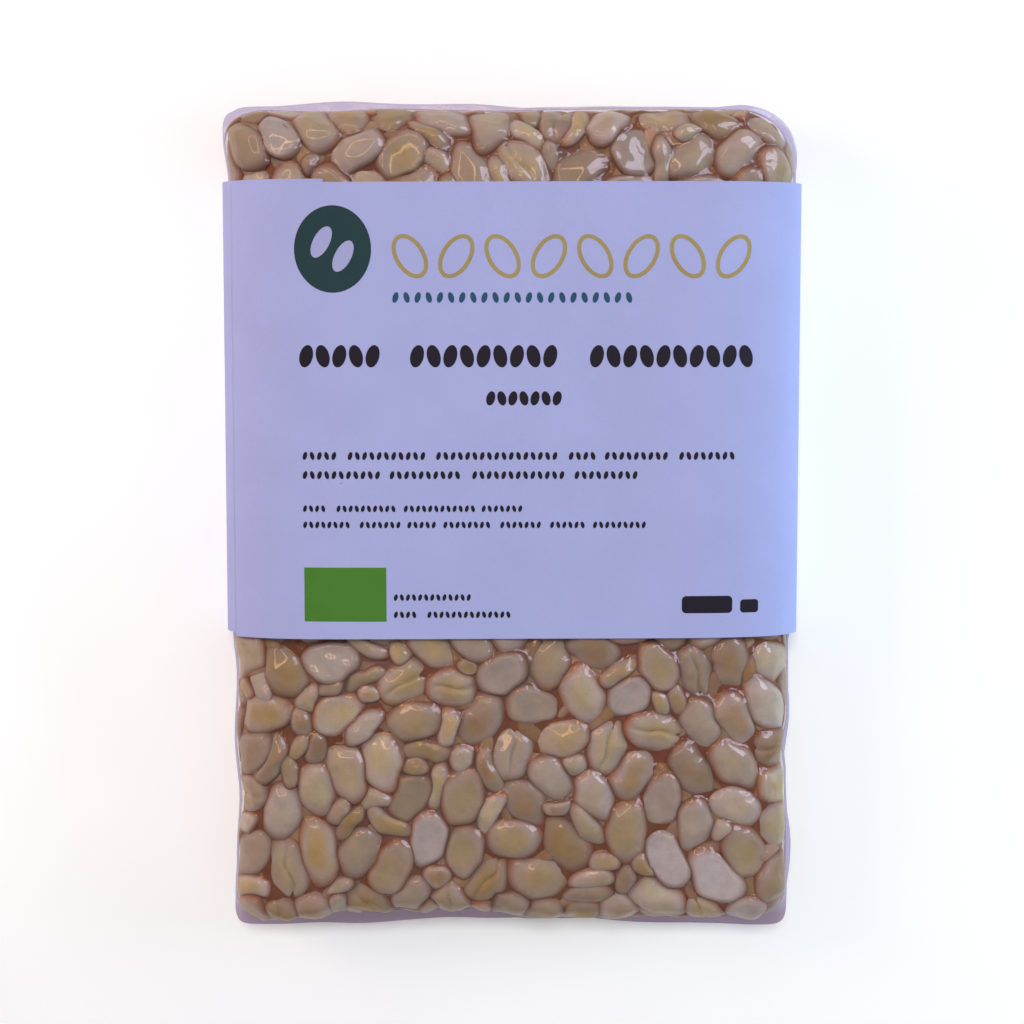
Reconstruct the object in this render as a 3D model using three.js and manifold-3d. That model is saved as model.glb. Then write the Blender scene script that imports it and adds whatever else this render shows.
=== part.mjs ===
// A block of soybean tempeh, vacuum packed in a clear film pouch, with a paper sleeve wrapped round it.
//
// Millimetres. The pack lies on its back: X runs across it, Y along it, and +Z up through its front face.
// The origin is under the middle of the pack, at the centre of the underside of its bounding box.

import * as THREE from "three";
import { mergeVertices } from "three/addons/utils/BufferGeometryUtils.js";
import Module from "manifold-3d";

// ---- Driving dimensions ----

const PACK_WIDTH = 101; // over the paper sleeve
const PACK_LENGTH = 146.3; // over the film's edge
const BLOCK_CENTRE_Y = 0.9; // where the block's middle lies; all the places below are counted from it

const PAPER = 0.25; // the sleeve's thickness
const PAPER_GAP = 0.3; // from the paper to the pouch inside it
const SLEEVE_FROM_Y = -20.45; // the sleeve's lower edge
const SLEEVE_TO_Y = 58; // the sleeve's upper edge
const SLEEVE_SIDE = 8; // how far in from the side the sleeve's back starts to curve up
const SLEEVE_DOME = 6.5; // the power that shapes the sleeve's front: higher is flatter
const OVERLAP_FROM_X = -32.2; // the sleeve's hidden end, under its front layer
const OUTER_END_X = -48.2; // where the outer layer ends, on its way round the left side
const LAYER_RISE = PAPER + 0.1; // how far the outer layer lies above the hidden end
const RISE_FROM_X = 12; // the front layer starts to rise here, on its way to the overlap
const SKEW = 0.6; // how far the sleeve's two ends are out of line along Y

const BLOCK_THICKNESS = 15.4; // over the beans, at the middle
const BLOCK_WIDTH = 95.6; // over the beans
const BLOCK_LENGTH = 140.6;
const FACE_SAG = 2.6; // how much lower the front face lies along its edges than at its middle
const PLAN_CORNER = 5.6; // the block's corner radius, seen from above
const OPEN_CORNER = 8; // the same at the upper right, where the film stands clear
const EDGE_ROUND = 5.2; // the radius where a face turns into a side
const MATRIX_DEPTH = 1.25; // from the tops of the beans down to what binds them
const CORE_INSET = 0.8; // from the beans' sides in to what binds them
const SHOULDER = 3.4; // the width of the slope between the core's face and its side

// How far the tempeh swells out past the plain block: places along each side and heights there.
const BULGES = {
  left: [[-70, 1.9], [-60, 1.3], [-50, 0.7], [-40, 1.4], [-28, 0.9], [-20, 1.5], [58, 1.4], [66, 2.3]],
  right: [[-70, 1.2], [-58, 1.3], [-46, 0.9], [-41, 0.4], [-36, 1.2], [-22, 1], [58, 1.4], [66, 0.6]],
  top: [[-47, 0.6], [-34, 0.2], [-20, 0.7], [-4, 0.4], [18, 0.7], [47, 0.5]],
  bottom: [[-47, 2.8], [-36, 2.5], [-31, 1], [-5, 0.9], [3, 2.2], [26, 1.9], [34, 2.1], [47, 2.4]],
};
const BULGE_REACH = 20; // how wide a margin of the face is drawn out with it at the ends

// The film's sealed edge: how far it reaches from the block's middle on each side, and how it weaves
// in and out by short ripples and long swells, each given as a height and a phase.
const FILM_EDGES = {
  left: { reach: 49.3, ripple: [0.48, 0.11], swell: [0.6, 1.89] },
  right: { reach: 49.4, ripple: [0.6, -1.85], swell: [0.5, 1.13] },
  top: { reach: 71.4, ripple: [0.2, -3.12], swell: [0.6, -2.91] },
  bottom: { reach: 73.2, ripple: [0.2, 1.81], swell: [0.7, -1.57] },
};
const RIPPLE = 3.8; // along the edge, for each radian of a ripple
const SWELL = 13.5;
const SEAM_THICKNESS = 0.6;
const LEAST_SEAM = 0.3; // the sealed edge where it is narrowest
const SQUARE_CORNER = 5; // the power that shapes the film's corners: 2 is round, higher is squarer
const ROUND_CORNER = 2;

const SEEDS = { front: 4127, back: 9311 };
const BEANS_UNDER_SLEEVE = 2.4; // how far the modelled beans run on below the paper

// ---- What follows from them ----

const HALF = { x: BLOCK_WIDTH / 2, y: BLOCK_LENGTH / 2 };
const BACK_Z = PAPER + PAPER_GAP;
const FRONT_Z = BACK_Z + BLOCK_THICKNESS;
const SIDE_HEIGHT = (BLOCK_THICKNESS - FACE_SAG) / 2; // from either face's edge to the film's seam
const SEAM_Z = BACK_Z + SIDE_HEIGHT;
const ROUND_LENGTH = (EDGE_ROUND * Math.PI) / 2;
const SIDE_REACH = ROUND_LENGTH + SIDE_HEIGHT - EDGE_ROUND;

// ---- The kinds of bean: half lengths, half widths, height over the widest line, and depth of the top ----

const BEAN_KINDS = {
  half: { share: 0.78, long: [4.6, 5.7], wide: [3.05, 3.6], tall: [1.7, 2.1], sink: [0, 0.45], tilt: 5 },
  edge: { share: 0.07, long: [3.8, 4.9], wide: [1.35, 1.9], tall: [1.6, 1.9], sink: [0.1, 0.5], tilt: 6 },
  chip: { share: 0.05, long: [1.7, 2.7], wide: [1.2, 1.9], tall: [1.3, 1.6], sink: [0.1, 0.5], tilt: 8 },
};
const CUT_FACE_SHARE = 0.3; // of the halves, those that lie with their cut face outwards
const BEAN_SIDES = { half: 6, edge: 5, chip: 4 };
// From the crest down: each ring's share of the outline and of the height.
const DOME_RINGS = [[0, 1], [0.7, 0.8], [1, 0.2], [0, -0.3]];
const CUT_FACE_RINGS = [[0, 0.78], [0.84, 1], [1, 0.3], [0, -0.3]];
const SETTLE_STEPS = 160; // rounds in which crowded beans push each other aside
const SETTLE_RATE = 0.3; // the share of each overlap that one round takes out

const smoothstep = (t) => THREE.MathUtils.smoothstep(t, 0, 1);
const mix = ([low, high], t) => low + (high - low) * t;

/** A repeatable stream of numbers from 0 to 1. */
function makeRandom(seed) {
  let state = seed >>> 0;
  return () => {
    state = (Math.imul(state, 1664525) + 1013904223) >>> 0;
    return state / 2 ** 32;
  };
}

// ---- The block's surface, unrolled ----

/** The radius of the block's corner in the quarter that holds (u, v). */
const cornerRadius = (u, v) => (u > 0 && v > 0 ? OPEN_CORNER : PLAN_CORNER);

/** How far the front face lies below its middle at (u, v). */
function faceSag(u, v) {
  const [a, b] = [Math.min(Math.abs(u) / HALF.x, 1), Math.min(Math.abs(v) / HALF.y, 1)];
  return FACE_SAG * (1 - (1 - a ** 3) * (1 - b ** 3));
}

/** How far one side, given by its stops, swells out at a place along it. */
function bulge(stops, along) {
  const next = stops.findIndex(([place]) => place > along);
  if (next === 0) return stops[0][1];
  if (next < 0) return stops.at(-1)[1];
  const [from, to] = [stops[next - 1], stops[next]];
  return mix([from[1], to[1]], smoothstep((along - from[0]) / (to[0] - from[0])));
}

/** How far the tempeh is drawn out sideways and lengthways at (u, v). */
function swelling(u, v) {
  const across = u < 0 ? -bulge(BULGES.left, v) : bulge(BULGES.right, v);
  const along = v < 0 ? -bulge(BULGES.bottom, u) : bulge(BULGES.top, u);
  const nearSide = smoothstep((Math.abs(u) - HALF.x + EDGE_ROUND) / ROUND_LENGTH);
  const nearEnd = smoothstep((Math.abs(v) - HALF.y) / BULGE_REACH + 1);
  return new THREE.Vector3(across * nearSide, along * nearEnd, 0);
}

/**
 * Lays the plan point (u, v) over the block like a cloth: along the face, then round the edge and down
 * the side. side is 1 on the front face and -1 on the back. Gives the point, the way out of the block,
 * and how far the point is beyond the plain of the face.
 */
function drape(u, v, side) {
  const radius = cornerRadius(u, v);
  const dx = Math.abs(u) - (HALF.x - radius);
  const dy = Math.abs(v) - (HALF.y - radius);
  const out = new THREE.Vector2();
  let beyond;
  if (dx > 0 && dy > 0) {
    out.set(dx, dy).normalize();
    beyond = Math.hypot(dx, dy) + EDGE_ROUND - radius;
  } else {
    out.set(dx > dy ? 1 : 0, dx > dy ? 0 : 1);
    beyond = Math.max(dx, dy) + EDGE_ROUND - radius;
  }
  out.x *= Math.sign(u) || 1;
  out.y *= Math.sign(v) || 1;
  beyond = Math.max(beyond, 0);

  const turn = Math.min(beyond / EDGE_ROUND, Math.PI / 2);
  const reach = EDGE_ROUND * Math.sin(turn) - beyond;
  const drop = EDGE_ROUND * (1 - Math.cos(turn)) + Math.max(beyond - ROUND_LENGTH, 0);
  const z = side > 0 ? FRONT_Z - faceSag(u, v) - drop : BACK_Z + drop;
  return {
    beyond,
    point: new THREE.Vector3(u + out.x * reach, v + out.y * reach, z).add(swelling(u, v)),
    normal: new THREE.Vector3(out.x * Math.sin(turn), out.y * Math.sin(turn), side * Math.cos(turn)),
  };
}

// ---- Where the beans lie ----

/** Keeps a bean on its sheet: off the seam, and clear of the paper but for a few millimetres. */
function fence(bean) {
  const inset = EDGE_ROUND + bean.wide + bean.shy;
  const limit = { u: HALF.x + SIDE_REACH - inset, v: HALF.y + SIDE_REACH - inset };
  bean.u = THREE.MathUtils.clamp(bean.u, -limit.u, limit.u);
  bean.v = bean.upper
    ? THREE.MathUtils.clamp(bean.v, SLEEVE_TO_Y - BEANS_UNDER_SLEEVE, limit.v)
    : THREE.MathUtils.clamp(bean.v, -limit.v, SLEEVE_FROM_Y + BEANS_UNDER_SLEEVE);
}

/** Three circles along a bean stand for its outline; each overlap pushes both beans apart and turns them. */
function settle(beans) {
  for (let step = 0; step < SETTLE_STEPS; step++) {
    for (const bean of beans) {
      const spread = bean.long - bean.wide;
      const [c, s] = [Math.cos(bean.yaw), Math.sin(bean.yaw)];
      bean.circles = [-spread, 0, spread].map((arm) => ({ arm, u: bean.u + arm * c, v: bean.v + arm * s }));
      bean.push = { u: 0, v: 0, yaw: 0 };
    }
    for (const [i, a] of beans.entries())
      for (const b of beans.slice(0, i)) {
        if (Math.hypot(a.u - b.u, a.v - b.v) > a.long + b.long) continue;
        for (const p of a.circles)
          for (const q of b.circles) {
            const [du, dv] = [p.u - q.u, p.v - q.v];
            const distance = Math.hypot(du, dv) + 1e-9;
            const overlap = Math.max(a.wide + b.wide - distance, 0) * SETTLE_RATE;
            shove(a, p.arm, (du / distance) * overlap, (dv / distance) * overlap);
            shove(b, q.arm, (-du / distance) * overlap, (-dv / distance) * overlap);
          }
      }
    for (const bean of beans) {
      bean.u += bean.push.u;
      bean.v += bean.push.v;
      bean.yaw += bean.push.yaw;
      fence(bean);
    }
  }
}

/** Adds one shove, at a distance along the bean from its middle, to the bean's move and turn. */
function shove(bean, arm, pushU, pushV) {
  const weight = 0.5 / bean.long ** 1.5;
  bean.push.u += weight * 2.2 * bean.wide * pushU;
  bean.push.v += weight * 2.2 * bean.wide * pushV;
  bean.push.yaw += weight * 0.3 * arm * (pushV * Math.cos(bean.yaw) - pushU * Math.sin(bean.yaw));
}

/** Throws beans of every kind on a sheet until they nearly fill it, then lets them settle. */
function scatterBeans(seed) {
  const random = makeRandom(seed);
  const reach = { u: HALF.x + SIDE_REACH - EDGE_ROUND, v: HALF.y + SIDE_REACH - EDGE_ROUND };
  const strips = [
    { upper: false, from: -reach.v, to: SLEEVE_FROM_Y + BEANS_UNDER_SLEEVE },
    { upper: true, from: SLEEVE_TO_Y - BEANS_UNDER_SLEEVE, to: reach.v },
  ];
  const beans = [];
  for (const { upper, from, to } of strips)
    for (const [name, kind] of Object.entries(BEAN_KINDS)) {
      let room = kind.share * 2 * reach.u * (to - from);
      while (room > 0) {
        const bean = {
          name,
          upper,
          u: (2 * random() - 1) * reach.u,
          v: mix([from, to], random()),
          shy: mix([0, 4], random()), // how far it keeps from the seam
          yaw: random() * Math.PI,
          long: mix(kind.long, random()),
          wide: mix(kind.wide, random()),
          tall: mix(kind.tall, random()),
          sink: mix(kind.sink, random()),
          slopeX: Math.tan(THREE.MathUtils.degToRad(kind.tilt * (2 * random() - 1))),
          slopeY: Math.tan(THREE.MathUtils.degToRad(kind.tilt * (2 * random() - 1))),
          rings: random() < CUT_FACE_SHARE && name === "half" ? CUT_FACE_RINGS : DOME_RINGS,
        };
        fence(bean);
        beans.push(bean);
        room -= Math.PI * bean.long * bean.wide;
      }
    }
  settle(beans);
  return beans;
}

// ---- Solids ----

const wasm = await Module();
wasm.setup();

/** A closed three.js geometry as a manifold-3d solid. */
function solidOf(geometry) {
  geometry.deleteAttribute("normal");
  geometry.deleteAttribute("uv");
  const merged = mergeVertices(geometry, 1e-4);
  return new wasm.Manifold(
    new wasm.Mesh({
      numProp: 3,
      vertProperties: merged.attributes.position.array,
      triVerts: new Uint32Array(merged.index.array),
    }),
  );
}

/** A manifold-3d solid as a three.js geometry. */
function geometryOf(solid) {
  const mesh = solid.getMesh();
  const positions = new Float32Array(mesh.numVert * 3);
  for (let i = 0; i < mesh.numVert; i++)
    positions.set(mesh.vertProperties.subarray(i * mesh.numProp, i * mesh.numProp + 3), i * 3);
  const geometry = new THREE.BufferGeometry()
    .setAttribute("position", new THREE.BufferAttribute(positions, 3))
    .setIndex(new THREE.BufferAttribute(mesh.triVerts, 1));
  geometry.computeVertexNormals();
  return geometry;
}

/** One bean: a few rings of points under a crest, bent to follow the block's face and its rounded edge. */
function beanSolid(bean, side) {
  const sides = BEAN_SIDES[bean.name];
  const ball = new THREE.SphereGeometry(1, sides, bean.rings.length - 1).rotateX(Math.PI / 2);
  const points = ball.attributes.position;
  const locals = Array.from({ length: points.count }, (_, i) => {
    const [share, height] = bean.rings[Math.floor(i / (sides + 1))];
    const way = new THREE.Vector2(points.getX(i), points.getY(i)).normalize().multiplyScalar(share);
    const [x, y] = [way.x * bean.long, side * way.y * bean.wide];
    return { x, y, z: height * bean.tall + x * bean.slopeX + y * bean.slopeY };
  });
  const crest = Math.max(...locals.map(({ z }) => z));
  locals.forEach(({ x, y, z }, i) => {
    const u = bean.u + x * Math.cos(bean.yaw) - y * Math.sin(bean.yaw);
    const v = bean.v + x * Math.sin(bean.yaw) + y * Math.cos(bean.yaw);
    const { point, normal } = drape(u, v, side);
    point.addScaledVector(normal, z - crest - bean.sink);
    points.setXYZ(i, ...point.toArray());
  });
  return solidOf(ball);
}

/**
 * Places round the block, seen from above: a centre, the radius about it, and the way out. sideStops are
 * the places on the long sides; acrossSteps and cornerSteps count the steps on an end and round a corner.
 */
function stationsRound(sideStops, acrossSteps, cornerSteps) {
  const across = Array.from(
    { length: acrossSteps + 1 },
    (_, i) => ((2 * i) / acrossSteps - 1) * (HALF.x - OPEN_CORNER),
  );
  const corner = (signX, signY, from) => {
    const radius = cornerRadius(signX, signY);
    const [x, y] = [signX * (HALF.x - radius), signY * (HALF.y - radius)];
    return Array.from({ length: cornerSteps - 1 }, (_, i) => {
      const angle = from + ((i + 1) / cornerSteps) * (Math.PI / 2);
      return { x, y, radius, nx: Math.cos(angle), ny: Math.sin(angle) };
    });
  };
  const radius = PLAN_CORNER;
  const onSide = (x, y, nx, ny) => ({ x: x - nx * radius, y: y - ny * radius, radius, nx, ny });
  return [
    ...sideStops.map((y) => onSide(HALF.x, y, 1, 0)),
    ...corner(1, 1, 0),
    ...across.toReversed().map((x) => onSide(x, HALF.y, 0, 1)),
    ...corner(-1, 1, Math.PI / 2),
    ...sideStops.toReversed().map((y) => onSide(-HALF.x, y, -1, 0)),
    ...corner(-1, -1, Math.PI),
    ...across.map((x) => onSide(x, -HALF.y, 0, -1)),
    ...corner(1, -1, -Math.PI / 2),
  ];
}

/** Joins rings of points, one above the other, into a closed solid. */
function skin(rings) {
  const n = rings[0].length;
  const index = [];
  for (let r = 0; r + 1 < rings.length; r++)
    for (let i = 0; i < n; i++) {
      const [a, b] = [r * n + i, r * n + ((i + 1) % n)];
      index.push(a, b, a + n, b, b + n, a + n);
    }
  const top = (rings.length - 1) * n;
  const cap = THREE.ShapeUtils.triangulateShape(
    rings[0].map(([x, y]) => new THREE.Vector2(x, y)),
    [],
  );
  for (const [a, b, c] of cap) index.push(a, c, b, top + a, top + b, top + c);
  const geometry = new THREE.BufferGeometry()
    .setAttribute("position", new THREE.Float32BufferAttribute(rings.flat(2), 3))
    .setIndex(index);
  return solidOf(geometry);
}

/** How far the film reaches from the block's middle on one side. It weaves only clear of the paper. */
function filmReach({ reach, ripple, swell }, along, y) {
  const short = ripple[0] * Math.sin(along / RIPPLE + ripple[1]);
  const long = swell[0] * Math.sin(along / SWELL + swell[1]);
  const clear = Math.max(SLEEVE_FROM_Y - y, y - SLEEVE_TO_Y) / 4;
  return reach + (short + long) * smoothstep(clear);
}

/** The film's sealed edge: a thin plate through the block, whose outline keeps to the pack's exact length. */
function filmSolid() {
  // The long sides have close steps only where the film's edge shows beside the sleeve.
  const sideStops = [
    ...Array.from({ length: 11 }, (_, i) => mix([PLAN_CORNER - HALF.y, SLEEVE_FROM_Y], i / 10)),
    ...[0.25, 0.5, 0.75].map((t) => mix([SLEEVE_FROM_Y, SLEEVE_TO_Y], t)),
    ...[0, 0.5, 1].map((t) => mix([SLEEVE_TO_Y, HALF.y - OPEN_CORNER], t)),
  ];
  const points = stationsRound(sideStops, 17, 4).map(({ x, y, radius, nx, ny }) => {
    const outside = radius + EDGE_ROUND;
    const swell = swelling(x + outside * nx, y + outside * ny);
    const filmX = filmReach(nx < 0 ? FILM_EDGES.left : FILM_EDGES.right, y, y);
    const filmY = filmReach(ny < 0 ? FILM_EDGES.bottom : FILM_EDGES.top, x, y + radius * ny);
    const reachX = Math.max(filmX, HALF.x + Math.abs(swell.x) + LEAST_SEAM);
    const reachY = Math.max(filmY, HALF.y + Math.abs(swell.y) + LEAST_SEAM);
    const power = 2 / (nx > 0 && ny > 0 ? ROUND_CORNER : SQUARE_CORNER);
    const wide = (reachX - Math.abs(x)) * Math.abs(nx) ** power;
    const tall = (reachY - Math.abs(y)) * Math.abs(ny) ** power;
    return [x + Math.sign(nx) * wide, y + Math.sign(ny) * tall];
  });
  const ys = points.map(([, y]) => y);
  const [from, to] = [Math.min(...ys), Math.max(...ys)];
  const low = -PACK_LENGTH / 2 - BLOCK_CENTRE_Y;
  const stretched = (y) => low + ((y - from) / (to - from)) * PACK_LENGTH;
  return skin([-0.5, 0.5].map((t) => points.map(([x, y]) => [x, stretched(y), SEAM_Z + t * SEAM_THICKNESS])));
}

/** What binds the beans: the block's body, a little smaller than the block, with a domed front. */
function coreSolid() {
  const stations = stationsRound([-0.9, -0.3, 0.3, 0.85].map((t) => t * HALF.y), 3, 2);
  const plan = (inset, share = 1) =>
    stations.map(({ x, y, radius, nx, ny }) => [
      (x + nx * (radius - inset)) * share,
      (y + ny * (radius - inset)) * share,
    ]);
  const swollen = (x, y, z) => swelling(x, y).add(new THREE.Vector3(x, y, z)).toArray();
  const level = (points, z) => points.map(([x, y]) => swollen(x, y, z));
  const onFace = (points) => points.map(([x, y]) => swollen(x, y, FRONT_Z - MATRIX_DEPTH - faceSag(x, y)));
  const backZ = BACK_Z + MATRIX_DEPTH;
  return skin([
    level(plan(CORE_INSET + SHOULDER), backZ),
    level(plan(CORE_INSET), backZ + SHOULDER),
    level(plan(CORE_INSET), FRONT_Z - MATRIX_DEPTH - FACE_SAG - SHOULDER),
    ...[1, 0.68, 0.34].map((share) => onFace(plan(CORE_INSET + SHOULDER, share))),
  ]);
}

/** The sealed pouch and what is in it, as one solid: core, film edge, and the beans on both faces. */
function tempehPack() {
  const turned = (bean) => drape(bean.u, bean.v, 1).beyond / ROUND_LENGTH;
  const front = scatterBeans(SEEDS.front).filter((bean) => turned(bean) < 0.62);
  const back = scatterBeans(SEEDS.back).filter((bean) => turned(bean) < 0.5 && bean.name !== "chip");
  return geometryOf(
    wasm.Manifold.union([
      coreSolid(),
      filmSolid(),
      ...front.map((bean) => beanSolid(bean, 1)),
      ...back.map((bean) => beanSolid(bean, -1)),
    ]),
  );
}

// ---- The paper sleeve ----

/** The middle of the paper, seen along Y, with the way out: from the hidden end to the outer end. */
function sleevePath() {
  const half = (PACK_WIDTH - PAPER) / 2;
  const frontTall = FRONT_Z + PAPER_GAP + PAPER / 2 - SEAM_Z;
  const backTall = SEAM_Z - PAPER / 2;
  const onFront = (x) => {
    const height = Math.sqrt(Math.max(1 - (Math.abs(x) / half) ** SLEEVE_DOME, 0));
    const slope = (SLEEVE_DOME * Math.sign(x) * (Math.abs(x) / half) ** (SLEEVE_DOME - 1)) / half;
    const out = new THREE.Vector2(slope, (2 * height) / frontTall).normalize();
    return { x, z: SEAM_Z + frontTall * height, nx: out.x, nz: out.y };
  };
  const raised = (x) => {
    const point = onFront(x);
    const rise = LAYER_RISE * smoothstep((RISE_FROM_X - x) / (RISE_FROM_X - OVERLAP_FROM_X - 1));
    return { ...point, x: x + point.nx * rise, z: point.z + point.nz * rise };
  };
  const backCorner = (x, from, steps = 7) =>
    Array.from({ length: steps + 1 }, (_, i) => {
      const angle = THREE.MathUtils.degToRad(from + (90 * i) / steps);
      const [c, s] = [Math.cos(angle), Math.sin(angle)];
      const out = new THREE.Vector2(c / SLEEVE_SIDE, s / backTall).normalize();
      return { x: x + c * SLEEVE_SIDE, z: SEAM_Z + s * backTall, nx: out.x, nz: out.y };
    });
  const shoulder = [12, 24, 34, 44, 54, 64, 72].map(
    (degrees) => half * Math.cos(THREE.MathUtils.degToRad(degrees)) ** (2 / SLEEVE_DOME),
  );
  const left = shoulder.toReversed().map((x) => -x);
  return [
    ...[OVERLAP_FROM_X, ...left].map(onFront),
    ...backCorner(SLEEVE_SIDE - half, 180),
    ...backCorner(half - SLEEVE_SIDE, 270),
    ...shoulder.map(onFront),
    ...[24, RISE_FROM_X].map(onFront),
    ...[-4, -18, OVERLAP_FROM_X + 1, ...left.filter((x) => x > OUTER_END_X + 0.4), OUTER_END_X].map(raised),
  ];
}

/** The sleeve: a strip of paper wrapped once round the pouch, its ends lapped and a little out of line. */
function paperSleeve() {
  const path = sleevePath();
  const travelled = [0];
  for (let i = 1; i < path.length; i++)
    travelled.push(travelled[i - 1] + Math.hypot(path[i].x - path[i - 1].x, path[i].z - path[i - 1].z));
  const total = travelled.at(-1);
  const corners = path.map(({ x, z, nx, nz }, i) => {
    const slip = SKEW * (0.5 - travelled[i] / total);
    const [low, high] = [SLEEVE_FROM_Y + slip, SLEEVE_TO_Y + slip];
    const at = (half, y) => [x + nx * half, y, z + nz * half];
    return [at(-PAPER / 2, low), at(-PAPER / 2, high), at(PAPER / 2, high), at(PAPER / 2, low)];
  });
  const index = [];
  for (let i = 0; i + 1 < corners.length; i++)
    for (let k = 0; k < 4; k++) {
      const [a, b] = [4 * i + k, 4 * i + ((k + 1) % 4)];
      index.push(a, a + 4, b, b, a + 4, b + 4);
    }
  const last = 4 * (corners.length - 1);
  index.push(0, 1, 2, 0, 2, 3, last, last + 2, last + 1, last, last + 3, last + 2);
  const geometry = new THREE.BufferGeometry()
    .setAttribute("position", new THREE.Float32BufferAttribute(corners.flat(2), 3))
    .setIndex(index);
  geometry.computeVertexNormals();
  return geometry;
}

// ---- The model ----

function namedMesh(name, geometry, color, roughness) {
  geometry.translate(0, BLOCK_CENTRE_Y, 0);
  const mesh = new THREE.Mesh(geometry, new THREE.MeshStandardMaterial({ color, roughness, metalness: 0 }));
  mesh.name = name;
  return mesh;
}

const pack = new THREE.Group();
pack.add(namedMesh("tempeh_pack", tempehPack(), 0xa68b73, 0.35));
pack.add(namedMesh("paper_sleeve", paperSleeve(), 0xa9abd8, 0.75));

export default pack;
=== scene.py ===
"""The looks of a vacuum packed block of tempeh in a paper sleeve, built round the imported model.

Lengths are in millimetres until a mesh is made. X runs across the pack, Y along it, Z up through its front.
Beans and film are worked out on an unrolled sheet (u, v), with h the height over the block's outer surface.
"""

import math
import bpy
import numpy as np
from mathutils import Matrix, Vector


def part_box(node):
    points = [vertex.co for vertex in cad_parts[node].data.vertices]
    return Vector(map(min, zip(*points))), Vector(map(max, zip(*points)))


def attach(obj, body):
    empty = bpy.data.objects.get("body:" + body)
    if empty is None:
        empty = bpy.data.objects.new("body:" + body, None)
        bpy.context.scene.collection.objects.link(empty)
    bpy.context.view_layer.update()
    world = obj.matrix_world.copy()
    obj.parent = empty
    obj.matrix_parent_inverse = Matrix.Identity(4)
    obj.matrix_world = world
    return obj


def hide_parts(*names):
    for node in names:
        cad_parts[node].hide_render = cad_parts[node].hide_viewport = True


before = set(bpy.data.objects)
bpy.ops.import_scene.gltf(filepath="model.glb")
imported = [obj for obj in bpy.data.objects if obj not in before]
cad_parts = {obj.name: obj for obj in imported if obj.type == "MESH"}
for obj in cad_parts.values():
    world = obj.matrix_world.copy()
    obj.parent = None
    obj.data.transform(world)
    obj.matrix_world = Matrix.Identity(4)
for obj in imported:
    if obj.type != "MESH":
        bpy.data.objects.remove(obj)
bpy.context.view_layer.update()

MM = 0.001


def corners_in_mm(node):
    """A CAD node's lowest and highest corners."""
    return [np.array(corner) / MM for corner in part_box(node)]


# ---- Sizes: the boxes come from the frame, the rest is counted from the block's middle ----

BLOCK_CENTRE_Y = 0.9  # where the block's middle lies in the pack
PACK_LOW, PACK_HIGH = corners_in_mm("tempeh_pack")
SLEEVE_LOW, SLEEVE_HIGH = corners_in_mm("paper_sleeve")

PAPER = 0.25
PAPER_GAP = 0.3
LAYER_RISE = PAPER + 0.1
SKEW = 0.6  # how far the ends are out of line
SLEEVE_FROM_Y = SLEEVE_LOW[1] + SKEW / 2 - BLOCK_CENTRE_Y
SLEEVE_TO_Y = SLEEVE_HIGH[1] - SKEW / 2 - BLOCK_CENTRE_Y
SLEEVE_SIDE = 8  # how wide its rounded back corners are
SLEEVE_DOME = 6.5  # the power of its front's curve
OVERLAP_FROM_X = -32.2  # the hidden end
OUTER_END_X = -48.2
RISE_FROM_X = 12  # from here on the outer layer climbs over the hidden end

BLOCK_THICKNESS = 15.4
HALF_X = 47.8  # half the block's width, over the beans
HALF_Y = 70.3
FACE_SAG = 2.6  # how much lower the front lies along its edges
PLAN_CORNER = 5.6
OPEN_CORNER = 8  # the upper right corner
EDGE_ROUND = 5.2
BACK_Z = PAPER + PAPER_GAP
FRONT_Z = BACK_Z + BLOCK_THICKNESS
SIDE_HEIGHT = (BLOCK_THICKNESS - FACE_SAG) / 2
SEAM_Z = BACK_Z + SIDE_HEIGHT
ROUND_LENGTH = EDGE_ROUND * math.pi / 2
SIDE_REACH = ROUND_LENGTH + SIDE_HEIGHT - EDGE_ROUND
SHEET_X = HALF_X + SIDE_REACH - EDGE_ROUND  # half of the unrolled sheet, as far as the seam
SHEET_Y = HALF_Y + SIDE_REACH - EDGE_ROUND
BEANS_UNDER_SLEEVE = 2.4
BEANS_TO_Y = SLEEVE_FROM_Y + BEANS_UNDER_SLEEVE  # where the lower beans end and the upper ones start
BEANS_FROM_Y = SLEEVE_TO_Y - BEANS_UNDER_SLEEVE
HIDDEN_FROM_Y, HIDDEN_TO_Y = SLEEVE_FROM_Y + 4, SLEEVE_TO_Y - 4  # the plain film in between

# How far the tempeh swells out past the plain block: places along each side and heights there.
BULGES = {
    "left": ((-70, 1.9), (-60, 1.3), (-50, 0.7), (-40, 1.4), (-28, 0.9), (-20, 1.5), (58, 1.4), (66, 2.3)),
    "right": ((-70, 1.2), (-58, 1.3), (-46, 0.9), (-41, 0.4), (-36, 1.2), (-22, 1.0), (58, 1.4), (66, 0.6)),
    "top": ((-47, 0.6), (-34, 0.2), (-20, 0.7), (-4, 0.4), (18, 0.7), (47, 0.5)),
    "bottom": ((-47, 2.8), (-36, 2.5), (-31, 1.0), (-5, 0.9), (3, 2.2), (26, 1.9), (34, 2.1), (47, 2.4)),
}
BULGE_REACH = 20  # how wide a margin of the face is drawn out with it at the ends

# The film's edge: reach from the block's middle, then height and phase of its ripples and of its swells.
FILM_EDGES = {
    "left": (49.3, 0.48, 0.11, 0.6, 1.89),
    "right": (49.4, 0.6, -1.85, 0.5, 1.13),
    "top": (71.4, 0.2, -3.12, 0.6, -2.91),
    "bottom": (73.2, 0.2, 1.81, 0.7, -1.57),
}
RIPPLE, SWELL = 3.8, 13.5  # their lengths, for each radian
SQUARE_CORNER, ROUND_CORNER = 5, 2  # the powers of the outline's corners

FRONT, BACK = 1, -1  # also the steps through a face's corners that make it face outwards
SEEDS = {FRONT: 4127, BACK: 9311}

ANGLES = 48  # points round each bean's outline
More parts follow.
